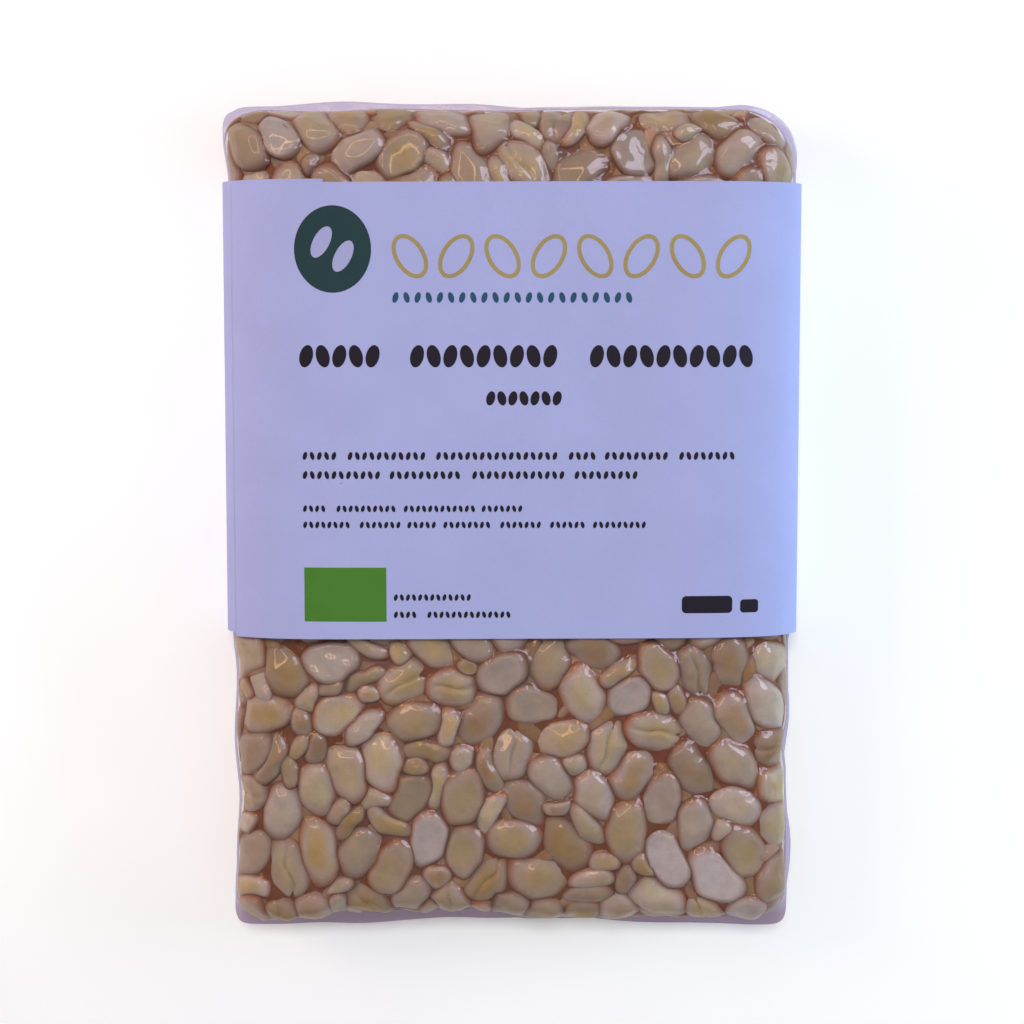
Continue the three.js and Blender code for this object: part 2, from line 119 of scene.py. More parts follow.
# How far a bean swells lengthways and sideways where it has room, and how far it is bent like a kidney.
GROW = {"half": (1.25, 1.18), "edge": (1.3, 1.15), "chip": (1.4, 1.2), "below": (1.1, 1.0)}
BEND = {"half": 0.016, "edge": 0.06, "chip": 0.08, "below": 0.06}
GROOVE = (-1.7, -0.5)  # less than 0, so that beans pressed together reach past their middle line
DOME_RINGS = (0.1, 0.25, 0.4, 0.55, 0.7, 0.82, 0.91, 0.96, 1.0)  # shares of the outline, from the crest out
FEWER_RINGS = (0.3, 0.6, 0.82, 0.94, 1.0)  # the same for the layer below
DOME_POWER = (2.0, 2.9)  # the higher, the flatter the top and the steeper the sides
PRESS = 10.0  # the power that joins a bean's free outline to its flattened one: higher is more angular
HALVINGS = 12  # steps in which the place where two beans meet is closed in on
ROUNDING = {-3: 0.07, -2: 0.12, -1: 0.2, 0: 0.22, 1: 0.2, 2: 0.12, 3: 0.07}  # rounds off the outlines
UNDER_RINGS = ((0.94, 0.45), (0.7, 1.1))  # below the rim: share of the outline, and depth
UNDER_DEPTH = 1.4
UNDER_RHO = 1.1  # what stands for the share of the outline below the rim
TALL_FACTOR = 1.1  # the real domes are a little taller than the solids' rings
SIDE_FULLNESS = 0.6  # how much less deep the hollows between the beans are at the block's sides
WARP, WARP_SIZE = 0.45, 5.5  # how far the sheet is bent, so that no outline stays straight
DISH = 0.14  # how hollow a cut face is
LUMP = 0.11  # low swellings on the beans
LEAN = 1.7  # the real beans lean more than the solids do
MORE_SINK = 0.3  # and lie deeper by up to so much
SPLIT_SHARE, SPLIT_DEPTH, SPLIT_WIDTH = 0.16, 0.6, 0.3  # beans that show the seam between their halves

GAP_STEP = 0.45  # between the places where room for a small piece is looked for
SMALLEST_GAP = 0.95  # the reach of the least room that gets one
LEAST_HOLE = 0.25  # the same for a bean of the layer below
BELOW_PITCH = 3.6  # between the beans of the layer below
BELOW_SINK = (1.2, 1.9)
MATRIX_DEPTH = 1.9  # from the block's outer surface to what binds the beans
MATRIX_STEP = 0.9
HIDDEN_STEPS = 30  # of the grid under the sleeve
FILM_STEPS = {FRONT: 0.34, BACK: 0.6}
FILM_CLEAR = 0.05  # from the beans to the film on them
FILM_PRESS = 0.027  # how hard the film is sucked in between two beans, per step
FILM_ROOT = 0.12  # how far out from the beans the film is sealed
FILM_ROUNDS = 420  # steps in which it is drawn down
FOLD, FOLD_REACH = 0.19, 3.0  # the height and length of the folds round a hollow
LEAST_SEAM = 0.3  # the sealed edge where it is narrowest


def linear(red, green, blue):
    """A colour given as 0 to 255 on screen, in linear light."""
    share = np.array([red, green, blue]) / 255
    return np.where(share <= 0.04045, share / 12.92, ((share + 0.055) / 1.055) ** 2.4)


def smoothstep(t):
    t = np.clip(t, 0, 1)
    return t * t * (3 - 2 * t)


def side_of(t):
    """-1 below zero, else 1."""
    return np.where(t < 0, -1, 1)


def turned(x, y, angle):
    """Points of a plane, turned about its origin."""
    c, s = np.cos(angle), np.sin(angle)
    return x * c - y * s, x * s + y * c


def unit(vectors):
    return vectors / np.linalg.norm(vectors, axis=-1, keepdims=True)


def band(a, b):
    """Quads between two closed loops of as many point numbers."""
    return np.stack([a, b, np.roll(b, -1), np.roll(a, -1)], 1)


class Stream:
    """The repeatable numbers from 0 to 1 that the solids are scattered with."""

    def __init__(self, seed):
        self.state = seed

    def __call__(self):
        self.state = (self.state * 1664525 + 1013904223) % 2**32
        return self.state / 2**32

    def between(self, pair):
        return pair[0] + (pair[1] - pair[0]) * self()


def ripples(p, q, seed, size, count=7):
    """A smooth, patternless height from -1 to 1 over the plane (p, q), with swellings about size across."""
    rng = np.random.default_rng(seed)
    total = 0
    for _ in range(count):
        angle, phase = rng.uniform(0, math.tau, 2)
        turns = math.tau / (size * rng.uniform(0.7, 1.6))
        total = total + np.sin(turns * (p * math.cos(angle) + q * math.sin(angle)) + phase)
    return total / count * 1.6


# ---- The block's surface, unrolled ----


def corner_radius(u, v):
    return np.where((u > 0) & (v > 0), OPEN_CORNER, PLAN_CORNER)


def past_sleeve(y):
    """How far a place lies beyond the sleeve's nearer end."""
    return np.maximum(SLEEVE_FROM_Y - y, y - SLEEVE_TO_Y)


def face_sag(u, v):
    """How far the front lies below its middle."""
    a, b = np.minimum(np.abs(u) / HALF_X, 1), np.minimum(np.abs(v) / HALF_Y, 1)
    return FACE_SAG * (1 - (1 - a**3) * (1 - b**3))


def way_out(u, v):
    """The way out of the block over a sheet point, and how far the point is beyond the plain of the face."""
    radius = corner_radius(u, v)
    dx, dy = np.abs(u) - HALF_X + radius, np.abs(v) - HALF_Y + radius
    at_corner = (dx > 0) & (dy > 0)
    spread = np.maximum(np.hypot(dx, dy), 1e-9)
    out_x = np.where(at_corner, dx / spread, dx > dy) * side_of(u)
    out_y = np.where(at_corner, dy / spread, dx <= dy) * side_of(v)
    beyond = np.where(at_corner, spread, np.maximum(dx, dy)) + EDGE_ROUND - radius
    return out_x, out_y, np.maximum(beyond, 0)


def bulge(side, along):
    """How far one side swells out at a place along it."""
    places, heights = np.array(BULGES[side], float).T
    passed = np.interp(along, places, np.arange(len(places)))
    last = np.floor(passed)
    return np.interp(last + smoothstep(passed - last), np.arange(len(places)), heights)


def swelling(u, v):
    """How far the tempeh is drawn out sideways and lengthways at a sheet point."""
    across = np.where(u < 0, -bulge("left", v), bulge("right", v))
    along = np.where(v < 0, -bulge("bottom", u), bulge("top", u))
    near_side = smoothstep((np.abs(u) - HALF_X + EDGE_ROUND) / ROUND_LENGTH)
    near_end = smoothstep((np.abs(v) - HALF_Y) / BULGE_REACH + 1)
    return across * near_side, along * near_end


def drape(u, v, h, side):
    """Lays sheet points over the block: along the face, round the edge, and down the side."""
    more_x, more_y = swelling(u, v)
    out_x, out_y, beyond = way_out(u, v)
    calm = WARP * smoothstep((SIDE_REACH - beyond) / 3)
    u, v = u + calm * ripples(u, v, 71, WARP_SIZE), v + calm * ripples(u, v, 72, WARP_SIZE)
    h = h * (1 - SIDE_FULLNESS * smoothstep(beyond / ROUND_LENGTH))
    turn = np.minimum(beyond / EDGE_ROUND, math.pi / 2)
    reach = EDGE_ROUND * np.sin(turn) - beyond + h * np.sin(turn)
    drop = EDGE_ROUND * (1 - np.cos(turn)) + np.maximum(beyond - ROUND_LENGTH, 0) - h * np.cos(turn)
    z = FRONT_Z - face_sag(u, v) - drop if side == FRONT else BACK_Z + drop
    return np.stack([u + out_x * reach + more_x, v + out_y * reach + more_y, z], -1)


def plan_of(s, t):
    """Bends a rectangular grid to the sheet's rounded outline, square corners to quarter discs."""
    radius = corner_radius(s, t)
    corner_x, corner_y = HALF_X - radius, HALF_Y - radius
    a, b = np.maximum(np.abs(s) - corner_x, 0), np.maximum(np.abs(t) - corner_y, 0)
    reach = np.maximum(a, b)
    share = np.minimum(a, b) / np.maximum(reach, 1e-9)
    angle = np.where(b > a, math.pi / 2 - math.pi / 4 * share, math.pi / 4 * share)
    in_corner = (a > 0) & (b > 0)
    u = np.where(in_corner, corner_x + reach * np.cos(angle), np.abs(s)) * side_of(s)
    v = np.where(in_corner, corner_y + reach * np.sin(angle), np.abs(t)) * side_of(t)
    return u, v


# ---- Where the beans lie: the rule that the solids follow ----


class Beans(dict):
    """One bean's measures, or many beans' with an array for each measure, read as beans.long and so on."""

    __getattr__ = dict.__getitem__
    __setattr__ = dict.__setitem__

    def pick(self, mask):
        return Beans((key, value[mask]) for key, value in self.items())


def gather(rows):
    """Single beans, as one array for each of their measures."""
    return Beans((key, np.array([row[key] for row in rows])) for key in rows[0])


def together(*groups):
    return Beans((key, np.concatenate([group[key] for group in groups])) for key in groups[0])


# The share of the sheet that each kind takes up, and what its beans' measures are drawn from.
BEAN_KINDS = {
    "half": Beans(share=0.78, long=(4.6, 5.7), wide=(3.05, 3.6), tall=(1.7, 2.1), sink=(0, 0.45), tilt=5),
    "edge": Beans(share=0.07, long=(3.8, 4.9), wide=(1.35, 1.9), tall=(1.6, 1.9), sink=(0.1, 0.5), tilt=6),
    "chip": Beans(share=0.05, long=(1.7, 2.7), wide=(1.2, 1.9), tall=(1.3, 1.6), sink=(0.1, 0.5), tilt=8),
}
CUT_FACE_SHARE = 0.3
SETTLE_STEPS = 160
SETTLE_RATE = 0.3


def fence(beans):
    """Keeps the beans on the sheet and clear of the part that the sleeve hides."""
    inset = EDGE_ROUND + beans.wide + beans.shy
    limit_u, limit_v = HALF_X + SIDE_REACH - inset, HALF_Y + SIDE_REACH - inset
    beans.u = np.clip(beans.u, -limit_u, limit_u)
    low = np.where(beans.upper, BEANS_FROM_Y, -limit_v)
    high = np.where(beans.upper, limit_v, BEANS_TO_Y)
    beans.v = np.clip(beans.v, low, high)


def settle(beans):
    """Three circles stand for each bean's outline; each overlap pushes both beans apart and turns them."""
    arm = (beans.long - beans.wide)[:, None] * np.array([-1, 0, 1])
    need = np.repeat(beans.wide, 3)
    need = need[:, None] + need[None, :]
    owner = np.repeat(np.arange(len(arm)), 3)
    other = owner[:, None] != owner[None, :]
    reach = beans.long[:, None] + beans.long[None, :]
    weight = 0.5 / beans.long ** 1.5
    for _ in range(SETTLE_STEPS):
        c, s = np.cos(beans.yaw)[:, None], np.sin(beans.yaw)[:, None]
        cu, cv = (beans.u[:, None] + arm * c).ravel(), (beans.v[:, None] + arm * s).ravel()
        du, dv = cu[:, None] - cu[None, :], cv[:, None] - cv[None, :]
        distance = np.hypot(du, dv) + 1e-9
        gap_u = beans.u[:, None] - beans.u[None, :]
        gap_v = beans.v[:, None] - beans.v[None, :]
        near = (np.hypot(gap_u, gap_v) <= reach)[owner][:, owner] & other
        overlap = np.where(near, np.maximum(need - distance, 0), 0) * SETTLE_RATE / distance
        push_u = (overlap * du).sum(1).reshape(-1, 3)
        push_v = (overlap * dv).sum(1).reshape(-1, 3)
        beans.u = beans.u + weight * 2.2 * beans.wide * push_u.sum(1)
        beans.v = beans.v + weight * 2.2 * beans.wide * push_v.sum(1)
        beans.yaw = beans.yaw + weight * 0.3 * (arm * (push_v * c - push_u * s)).sum(1)
        fence(beans)


def scatter_beans(seed):
    """Throws beans of every kind on a sheet until they nearly fill it, then lets them settle."""
    random = Stream(seed)
    rows = []
    for upper, low, high in ((False, -SHEET_Y, BEANS_TO_Y), (True, BEANS_FROM_Y, SHEET_Y)):
        for name, kind in BEAN_KINDS.items():
            room = kind.share * 2 * SHEET_X * (high - low)
            while room > 0:
                row = Beans(kind=name, upper=upper, u=(2 * random() - 1) * SHEET_X)
                row.v = random.between((low, high))
                row.shy = random.between((0, 4))
                row.yaw = random() * math.pi
                for key in ("long", "wide", "tall", "sink"):
                    row[key] = random.between(kind[key])
                for key in ("slope_x", "slope_y"):
                    row[key] = math.tan(math.radians(kind.tilt * (2 * random() - 1)))
                row.cut = random() < CUT_FACE_SHARE and name == "half"
                rows.append(row)
                room -= math.pi * row.long * row.wide
    beans = gather(rows)
    fence(beans)
    settle(beans)
    del beans["upper"], beans["shy"]
    return beans


# ---- The beans' shapes ----

TURN = np.arange(ANGLES) * math.tau / ANGLES


def oval_reach(long, wide):
    """An ellipse's radius at each step round it."""
    return long * wide / np.hypot(wide * np.cos(TURN), long * np.sin(TURN))


def ellipse_gap(beans, u, v):
    """About how far points lie outside each bean's ellipse. The beans go along the last axis."""
    du, dv = u[..., None] - beans.u, v[..., None] - beans.v
    x, y = turned(du, dv, -beans.yaw)
    return (np.hypot(x / beans.long, y / beans.wide) - 1) * beans.wide


def pressed_outlines(beans, rng):
    """Each bean's outline: its ellipse, swollen into free room and flattened against its neighbours."""
    count = len(beans.u)
    grow = np.array([GROW[kind] for kind in beans.kind])
    long, wide = beans.long[:, None], beans.wide[:, None]
    ellipse = oval_reach(long, wide)
    phase = rng.uniform(0, math.tau, (3, count, 1))
    uneven = 1 + 0.04 * np.sin(2 * TURN + phase[0]) + 0.04 * np.sin(3 * TURN + phase[1])
    egg = rng.uniform(-0.07, 0.07, (count, 1)) * np.cos(TURN)
    knobs = 0.02 * np.sin(5 * TURN + phase[2])
    free = oval_reach(long * grow[:, :1], wide * grow[:, 1:]) * (uneven + egg + knobs)
    way = beans.yaw[:, None] + TURN
    low, high = 0.35 * ellipse, 1.9 * ellipse
    own = np.arange(count)
    apart = rng.uniform(*GROOVE, (count, 1))
    for _ in range(HALVINGS):
        radius = (low + high) / 2
        u, v = beans.u[:, None] + radius * np.cos(way), beans.v[:, None] + radius * np.sin(way)
        gap, beyond = ellipse_gap(beans, u, v), way_out(u, v)[2]
        mine = gap[own, :, own]
        gap[own, :, own] = np.inf
        inside = (mine + apart < gap.min(2)) & (beyond < SIDE_REACH - 0.3)
        low, high = np.where(inside, radius, low), np.where(inside, high, radius)
    outline = (low**-PRESS + free**-PRESS) ** (-1 / PRESS)
    return sum(share * np.roll(outline, shift, 1) for shift, share in ROUNDING.items())


def crown(shape, rho, x, y):
    """A bean's height over its rim. rho is 0 at its middle and 1 at the rim; x and y are in its own plan."""
    inside = np.clip(rho, 0, 1)
    dome = (1 - inside ** shape.power) ** 0.5
    rim = np.sqrt(1 - np.clip((inside - 0.68) / 0.32, 0, 1) ** 2)
    hollow = DISH * (1 - smoothstep((inside - 0.35) / 0.45))
    height = np.where(shape.cut, shape.tall * rim - hollow, shape.tall * dome)
    lumps = np.sin(x * shape.lump_x + shape.phase_x) * np.sin(y * shape.lump_y + shape.phase_y)
    seam = shape.split * np.exp(-(((y - 0.25 * lumps) / SPLIT_WIDTH) ** 2))
    return height + shape.slope_x * x + shape.slope_y * y + (LUMP * lumps - seam) * (1 - inside**6)


def give_shape(beans, seed):
    """Adds what the visual model needs to the beans: lumps, outlines, crests, and how ripe each one is."""
    rng = np.random.default_rng(seed)
    count = len(beans.u)
    beans.tall = beans.tall * TALL_FACTOR
    beans.slope_x, beans.slope_y = beans.slope_x * LEAN, beans.slope_y * LEAN
    beans.bend = np.array([BEND[kind] for kind in beans.kind]) * rng.uniform(-1, 1, count)
    beans.sink = beans.sink + MORE_SINK * rng.uniform(0, 1, count) * (beans.kind == "half")
    split = (rng.uniform(0, 1, count) < SPLIT_SHARE) & (beans.kind == "half") & ~beans.cut
    beans.split = SPLIT_DEPTH * split
    for axis in "xy":
        beans["lump_" + axis] = rng.uniform(0.55, 1.2, count)
        beans["phase_" + axis] = rng.uniform(0, math.tau, count)
    beans.power = rng.uniform(*DOME_POWER, count)
    beans.ripe = rng.uniform(0, 1, count)
    beans.shade = rng.normal(0, 1, count)
    beans.outline = pressed_outlines(beans, rng)
    beans.crest = bean_grid(beans)[2].max(1)
    return beans


SHAPE_KEYS = ("cut", "tall", "power", "split", "slope_x", "slope_y", "lump_x", "lump_y", "phase_x", "phase_y")


def bean_grid(beans, rings=DOME_RINGS, skip=1):
    """Every bean's points in its own plan: its middle, rings to the rim, rings under it, and the bottom."""
    angles = ANGLES // skip
    shares = np.concatenate([[0], np.repeat(rings, angles)])
    turns = np.concatenate([[0], np.tile(np.arange(0, ANGLES, skip), len(rings))]).astype(int)
    radius = shares * beans.outline[:, turns]
    x, y = radius * np.cos(TURN[turns]), radius * np.sin(TURN[turns])
    y = y + beans.bend[:, None] * x**2
    shape = Beans((key, beans[key][:, None]) for key in SHAPE_KEYS)
    z = crown(shape, shares[None, :], x, y)
    rim_x, rim_y, rim_z = x[:, -angles:], y[:, -angles:], z[:, -angles:]
    parts = [(x, y, z, np.broadcast_to(shares, x.shape))]
    for share, depth in UNDER_RINGS:
        parts.append((rim_x * share, rim_y * share, rim_z - depth, np.full(rim_x.shape, UNDER_RHO)))
    middle = np.zeros((len(x), 1))
    parts.append((middle, middle, rim_z.min(1, keepdims=True) - UNDER_DEPTH, middle + UNDER_RHO))
    return [np.concatenate(part, 1) for part in zip(*parts)]


def bean_faces(count, points, angles):
    """Triangles and quads of one bean, repeated for each, wound to face outwards on the front."""
    k = np.arange(angles)
    after = np.roll(k, -1)
    last = points - 1 - angles
    top = np.stack([0 * k, 1 + k, 1 + after], 1)
    bottom = np.stack([0 * k + points - 1, last + after, last + k], 1)
    quads = np.concatenate([band(k, k + angles) + first for first in range(1, last, angles)])
    starts = (np.arange(count) * points)[:, None, None]
    return (np.concatenate([top, bottom]) + starts).reshape(-1, 3), (quads + starts).reshape(-1, 4)


def place_beans(beans, side, rings, skip):
    """The beans' points on the block, in space, and how far each is from its bean's middle."""
    x, y, z, rho = bean_grid(beans, rings, skip)
    h = z - z.max(1, keepdims=True) - beans.sink[:, None]
    x, y = turned(x, y, beans.yaw[:, None])
    return drape(beans.u[:, None] + x, beans.v[:, None] + y, h, side), rho


def height_field(beans, u, v):
    """The height of the topmost bean over each sheet point, -9 where there is none."""
    top = np.full(u.shape, -9.0)
    for i in range(len(beans.u)):
        bean = beans.pick(i)
        du, dv = u - bean.u, v - bean.v
        near = np.hypot(du, dv) < bean.outline.max() * 1.15
        x, y = turned(du[near], dv[near], -bean.yaw)
        plain_y = y - bean.bend * x**2
        outline = np.interp(np.arctan2(plain_y, x), TURN, bean.outline, period=math.tau)
        rho = np.hypot(x, plain_y) / outline
        h = crown(bean, rho, x, y) - bean.crest - bean.sink
        top[near] = np.maximum(top[near], np.where(rho < 1, h, -9))
    return top


def open_places():
    """The sheet's points outside the sleeve, as a fine grid."""
    u, v = np.meshgrid(*[np.arange(1 - half, half - 1, GAP_STEP) for half in (SHEET_X, SHEET_Y)])
    open_here = ((v < BEANS_TO_Y) | (v > BEANS_FROM_Y)) & (way_out(u, v)[2] < SIDE_REACH - 1)
    return u[open_here], v[open_here]


def fill_gaps(beans, seed):
    """Adds small pieces where the settled beans leave room, the widest room first."""
    rng = np.random.default_rng(seed)
    u, v = open_places()
    room = ellipse_gap(beans, u, v).min(1)
    rows = []
    while room.max() > SMALLEST_GAP:
        at = room.argmax()
        reach = room[at]
        near = np.hypot(u - u[at], v - v[at]) < 2.4 * reach
        weight = np.maximum(room[near], 0)
        du, dv = u[near] - u[at], v[near] - v[at]
        yaw = 0.5 * math.atan2(2 * (weight * du * dv).sum(), (weight * (du**2 - dv**2)).sum())
        row = Beans(kind="chip", u=u[at], v=v[at], yaw=yaw, wide=0.9 * reach + 0.25)
        row.long = row.wide * rng.uniform(1.7, 3.0)
        row.tall = rng.uniform(1.2, 1.6)
        row.sink = rng.uniform(0.1, 0.55) + 0.3 * max(1.2 - reach, 0)
        row.slope_x, row.slope_y = rng.uniform(-0.12, 0.12, 2)
        row.cut = rng.uniform() < 0.2
        rows.append(row)
        room = np.minimum(room, ellipse_gap(gather([row]), u, v)[:, 0])
    inside = way_out(beans.u, beans.v)[2] < SIDE_REACH - 1
    return together(beans.pick(inside), gather(rows))


def beans_below(beans, seed):
    """The next layer, seen in part between the beans on top: one bean under each place that is left open."""
    rng = np.random.default_rng(seed)
    u, v = open_places()
    room = ellipse_gap(beans, u, v).min(1)
    rows = []
    while room.max() > LEAST_HOLE:
        at = room.argmax()
        row = Beans(kind="below", u=u[at], v=v[at], yaw=rng.uniform(0, math.pi), cut=False)
        row.long, row.wide = rng.uniform(3.2, 4.8), rng.uniform(1.4, 2.3)
        row.tall = rng.uniform(1.0, 1.4)
        row.sink = rng.uniform(*BELOW_SINK)
        row.slope_x, row.slope_y = rng.uniform(-0.2, 0.2, 2)
        rows.append(row)
        room = np.where(np.hypot(u - u[at], v - v[at]) < BELOW_PITCH, 0, room)
    return gather(rows)


# ---- Colours of the beans ----

CROWNS = np.array([linear(178, 145, 90), linear(182, 160, 124), linear(181, 162, 144), linear(165, 130, 92)])
CROWN_STEPS = (0, 0.34, 0.62, 0.9)  # how ripe a bean is with each of these colours
PINK = linear(177, 156, 147)  # the pink towards a crown's edges and in patches, partly the beans' own tone and partly painted film sheen; also the cut faces
PALE = linear(186, 171, 164)
# AMBER and MAUVE are the rims' colours: partly the beans' own amber edge, partly painted shade where each
# bean dips into a crease.
AMBER = linear(144, 72, 14)
MAUVE = linear(132, 68, 28)
DEEP = linear(140, 54, 8)  # below the rims, where little light gets
# Where on a bean, as a share of its outline, the rim's painted crease shade begins.
RIM_FROM = 0.66
BELOW = linear(146, 86, 42)  # painted shade that the colours of the layer below, down in the hollows, are mixed with
SHADES = np.array([0.11, 0.14, 0.19])  # how far the beans differ: the darker, the browner


def bean_colours(beans, where, rho):
    """Colour by bean and by place on it: yellow to brown crowns turning pink towards their edges, partly
    their own tone and partly painted film sheen, then amber or mauve rims with painted crease shade; painted
    shade under the rims and on the layer below.
    """
    ripe = beans.ripe
    crown_colour = np.stack([np.interp(ripe, CROWN_STEPS, part) for part in CROWNS.T], 1)[:, None]
    ripe = ripe[:, None, None]
    cut = beans.cut[:, None, None]
    share = rho[:, :, None]
    haze = ripples(where[..., 0], where[..., 1], 81, 6.0)[:, :, None]
    # Pink grows towards each bean's edges and in random patches: partly the beans' own tone, partly painted
    # film sheen.
    to_pink_and_sheen = np.clip(0.1 + 0.25 * haze + 0.7 * smoothstep((share - 0.2) / 0.65), 0, 0.92)
    domed = crown_colour + (PINK - crown_colour) * to_pink_and_sheen
    bare = cut * smoothstep((ripe - 0.3) / 0.25)
    face = domed + (PINK + (PALE - PINK) * ripe - domed) * bare
    edge = np.where(ripe < 0.5, AMBER, MAUVE)
    # Towards the rim the colour turns amber or mauve: partly the rim's own tone, partly painted shade where
    # the bean dips into the crease.
    colour = face + (edge - face) * smoothstep((share - RIM_FROM) / (1.04 - RIM_FROM))
    colour = np.where(share > 1.05, DEEP, colour)  # under the rim
    # The layer below is mixed half with painted shade, as it lies down in the hollows.
    colour = np.where((beans.kind == "below")[:, None, None], 0.5 * colour + 0.5 * BELOW, colour)
    colour = colour * (0.965 + SHADES * np.clip(beans.shade, -1.8, 1.8)[:, None, None])
    return np.concatenate([np.clip(colour, 0, 1), np.ones(rho.shape + (1,))], 2)


# ---- Making meshes ----


def make_mesh(name, points, face_lists, material, colours=None, smooth=True):
    """One piece, from points in millimetres. In each array of faces all have the same number of sides."""
    mesh = bpy.data.meshes.new(name)
    points = np.asarray(points, float).reshape(-1, 3) + (0, BLOCK_CENTRE_Y, 0)
    loops = np.concatenate([np.asarray(faces).ravel() for faces in face_lists]).astype(np.int32)
    sizes = np.concatenate([np.full(len(faces), len(faces[0])) for faces in face_lists])
    mesh.vertices.add(len(points))
    mesh.vertices.foreach_set("co", (points * MM).ravel().astype(np.float32))
    mesh.loops.add(len(loops))
    mesh.loops.foreach_set("vertex_index", loops)
    mesh.polygons.add(len(sizes))
    mesh.polygons.foreach_set("loop_start", np.concatenate([[0], np.cumsum(sizes)[:-1]]).astype(np.int32))
    mesh.polygons.foreach_set("use_smooth", np.full(len(sizes), smooth))
    mesh.update(calc_edges=True)
    mesh.validate()
    if colours is not None:
        layer = mesh.color_attributes.new("tint", "FLOAT_COLOR", "POINT")
        layer.data.foreach_set("color", np.asarray(colours, np.float32).ravel())
    mesh.materials.append(material)
    piece = bpy.data.objects.new(name, mesh)
    bpy.context.scene.collection.objects.link(piece)
    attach(piece, "root")
    return piece


def grid_faces(rows, columns, side=FRONT):
    """Quads of a grid of points, numbered along its rows."""
    a = (np.arange(rows - 1)[:, None] * columns + np.arange(columns - 1)).ravel()
    return np.stack([a, a + 1, a + columns + 1, a + columns], 1)[:, ::side]


def edge_loop(grid):
    """The outermost points of a grid, once round, by number."""
    index = np.arange(grid.size).reshape(grid.shape)
    return np.concatenate([index[0, :-1], index[:-1, -1], index[-1, :0:-1], index[:0:-1, 0]])


def shell_faces(grid):
    """Quads of a closed shell: a grid of points, a second one under it, and a band between their edges."""
    loop = edge_loop(grid)
    under = grid_faces(*grid.shape, BACK) + grid.size
    return np.concatenate([grid_faces(*grid.shape), under, band(loop, loop + grid.size)])


# ---- Materials ----


class Nodes:
    """A short way to write a material's nodes."""

    def __init__(self, name):
        self.material = bpy.data.materials.new(name)
        self.material.use_nodes = True
        self.tree = self.material.node_tree
        self.tree.nodes.clear()

    def add(self, kind, links=None, **values):
        """Adds a node. Values are its properties, links its inputs, each fed by a socket or a constant."""
        node = self.tree.nodes.new("ShaderNode" + kind)
        for key, value in values.items():
            setattr(node, key, value)
        for key, value in (links or {}).items():
            if isinstance(value, bpy.types.NodeSocket):
                self.tree.links.new(value, node.inputs[key])
            else:
                node.inputs[key].default_value = value
        return node

    def finish(self, kind, links):
        """The material, with this shader on its surface."""
        self.add("OutputMaterial", {"Surface": self.add(kind, links).outputs[0]})
        return self.material

    def place(self):
        """Object coordinates: the same as the row's frame, in metres."""
        return self.add("TexCoord").outputs["Object"]

    def noise(self, size, detail=3.0, rough=0.55):
        """Noise with swellings about size millimetres across."""
        links = {"Vector": self.place(), "Scale": 1 / (size * MM), "Detail": detail, "Roughness": rough}
        return self.add("TexNoise", links).outputs["Fac"]

    def span(self, value, low, high, to_low=0.0, to_high=1.0):
        links = {"Value": value, "From Min": low, "From Max": high, "To Min": to_low, "To Max": to_high}
        return self.add("MapRange", links).outputs["Result"]

    def blend(self, factor, a, b):
        return self.add("Mix", {0: factor, 6: a, 7: b}, data_type="RGBA").outputs[2]

    def mix(self, factor, a, b):
        """Two shaders mixed."""
        return self.add("MixShader", {0: factor, 1: a, 2: b}).outputs[0]

    def math(self, operation, a, b):
        return self.add("Math", {0: a, 1: b}, operation=operation).outputs[0]

    def toned(self, colour, a, b):
        """A colour made lighter and darker by two patterns."""
        links = {0: colour, "Scale": self.math("MULTIPLY", a, b)}
        return self.add("VectorMath", links, operation="SCALE").outputs[0]

    def bump(self, height, depth):
        """A bump of so many millimetres."""
        return self.add("Bump", {"Height": height, "Distance": depth * MM, "Strength": 1.0}).outputs["Normal"]


def rgba(colour):
    return (*map(float, colour), 1.0)


def bean_material():
    """Boiled soybean: its own tint, softly mottled, with light going a little way in."""
    nodes = Nodes("soybean")
    tint = nodes.add("Attribute", attribute_name="tint").outputs["Color"]
    mottle = nodes.span(nodes.noise(2.6, 4.0), 0.3, 0.7, 0.9, 1.1)
    speckle = nodes.span(nodes.noise(0.35, 2.0), 0.25, 0.75, 0.96, 1.04)
    links = {
        "Base Color": nodes.toned(tint, mottle, speckle),
        "Roughness": 0.55,
        "Specular IOR Level": 0.25,
        "Subsurface Weight": 0.5,
        "Subsurface Radius": (1.0, 0.45, 0.2),
        "Subsurface Scale": 1.8 * MM,
        "Normal": nodes.bump(nodes.noise(1.1, 3.0), 0.05),
    }
    return nodes.finish("BsdfPrincipled", links)


def matrix_material():
    """What binds the beans: mycelium, pinkish brown with painted shade deep between the beans, finely
    wrinkled.
    """
    nodes = Nodes("mycelium")
    patches = nodes.span(nodes.noise(3.0, 4.0), 0.35, 0.65)
    links = {
        # Dark orange-browns: the mycelium's pinkish tone darkened with painted shade in the hollows between
        # the beans.
        "Base Color": nodes.blend(patches, rgba(linear(116, 50, 6)), rgba(linear(132, 66, 22))),
        "Roughness": 0.6,
        "Subsurface Weight": 0.3,
        "Subsurface Radius": (1.0, 0.5, 0.3),
        "Subsurface Scale": 1.0 * MM,
        "Normal": nodes.bump(nodes.noise(0.7, 5.0, 0.7), 0.25),
    }
    return nodes.finish("BsdfPrincipled", links)


SHEEN = 0.33  # how much of the film's gloss is spread wide
BROAD_ROUGHNESS = 0.32
WARM = (1.0, 0.84, 0.6, 1.0)  # the colour of that wide part
WHITE = (1.0, 1.0, 1.0, 1.0)
MIST = linear(196, 172, 172)
MIST_SHARE = 0.12
SHADOW_FROM_Y, SHADOW_TO_Y = -68, -71  # where the sealed edge's tint turns darker and pinker: painted shadow of the block along the lower end
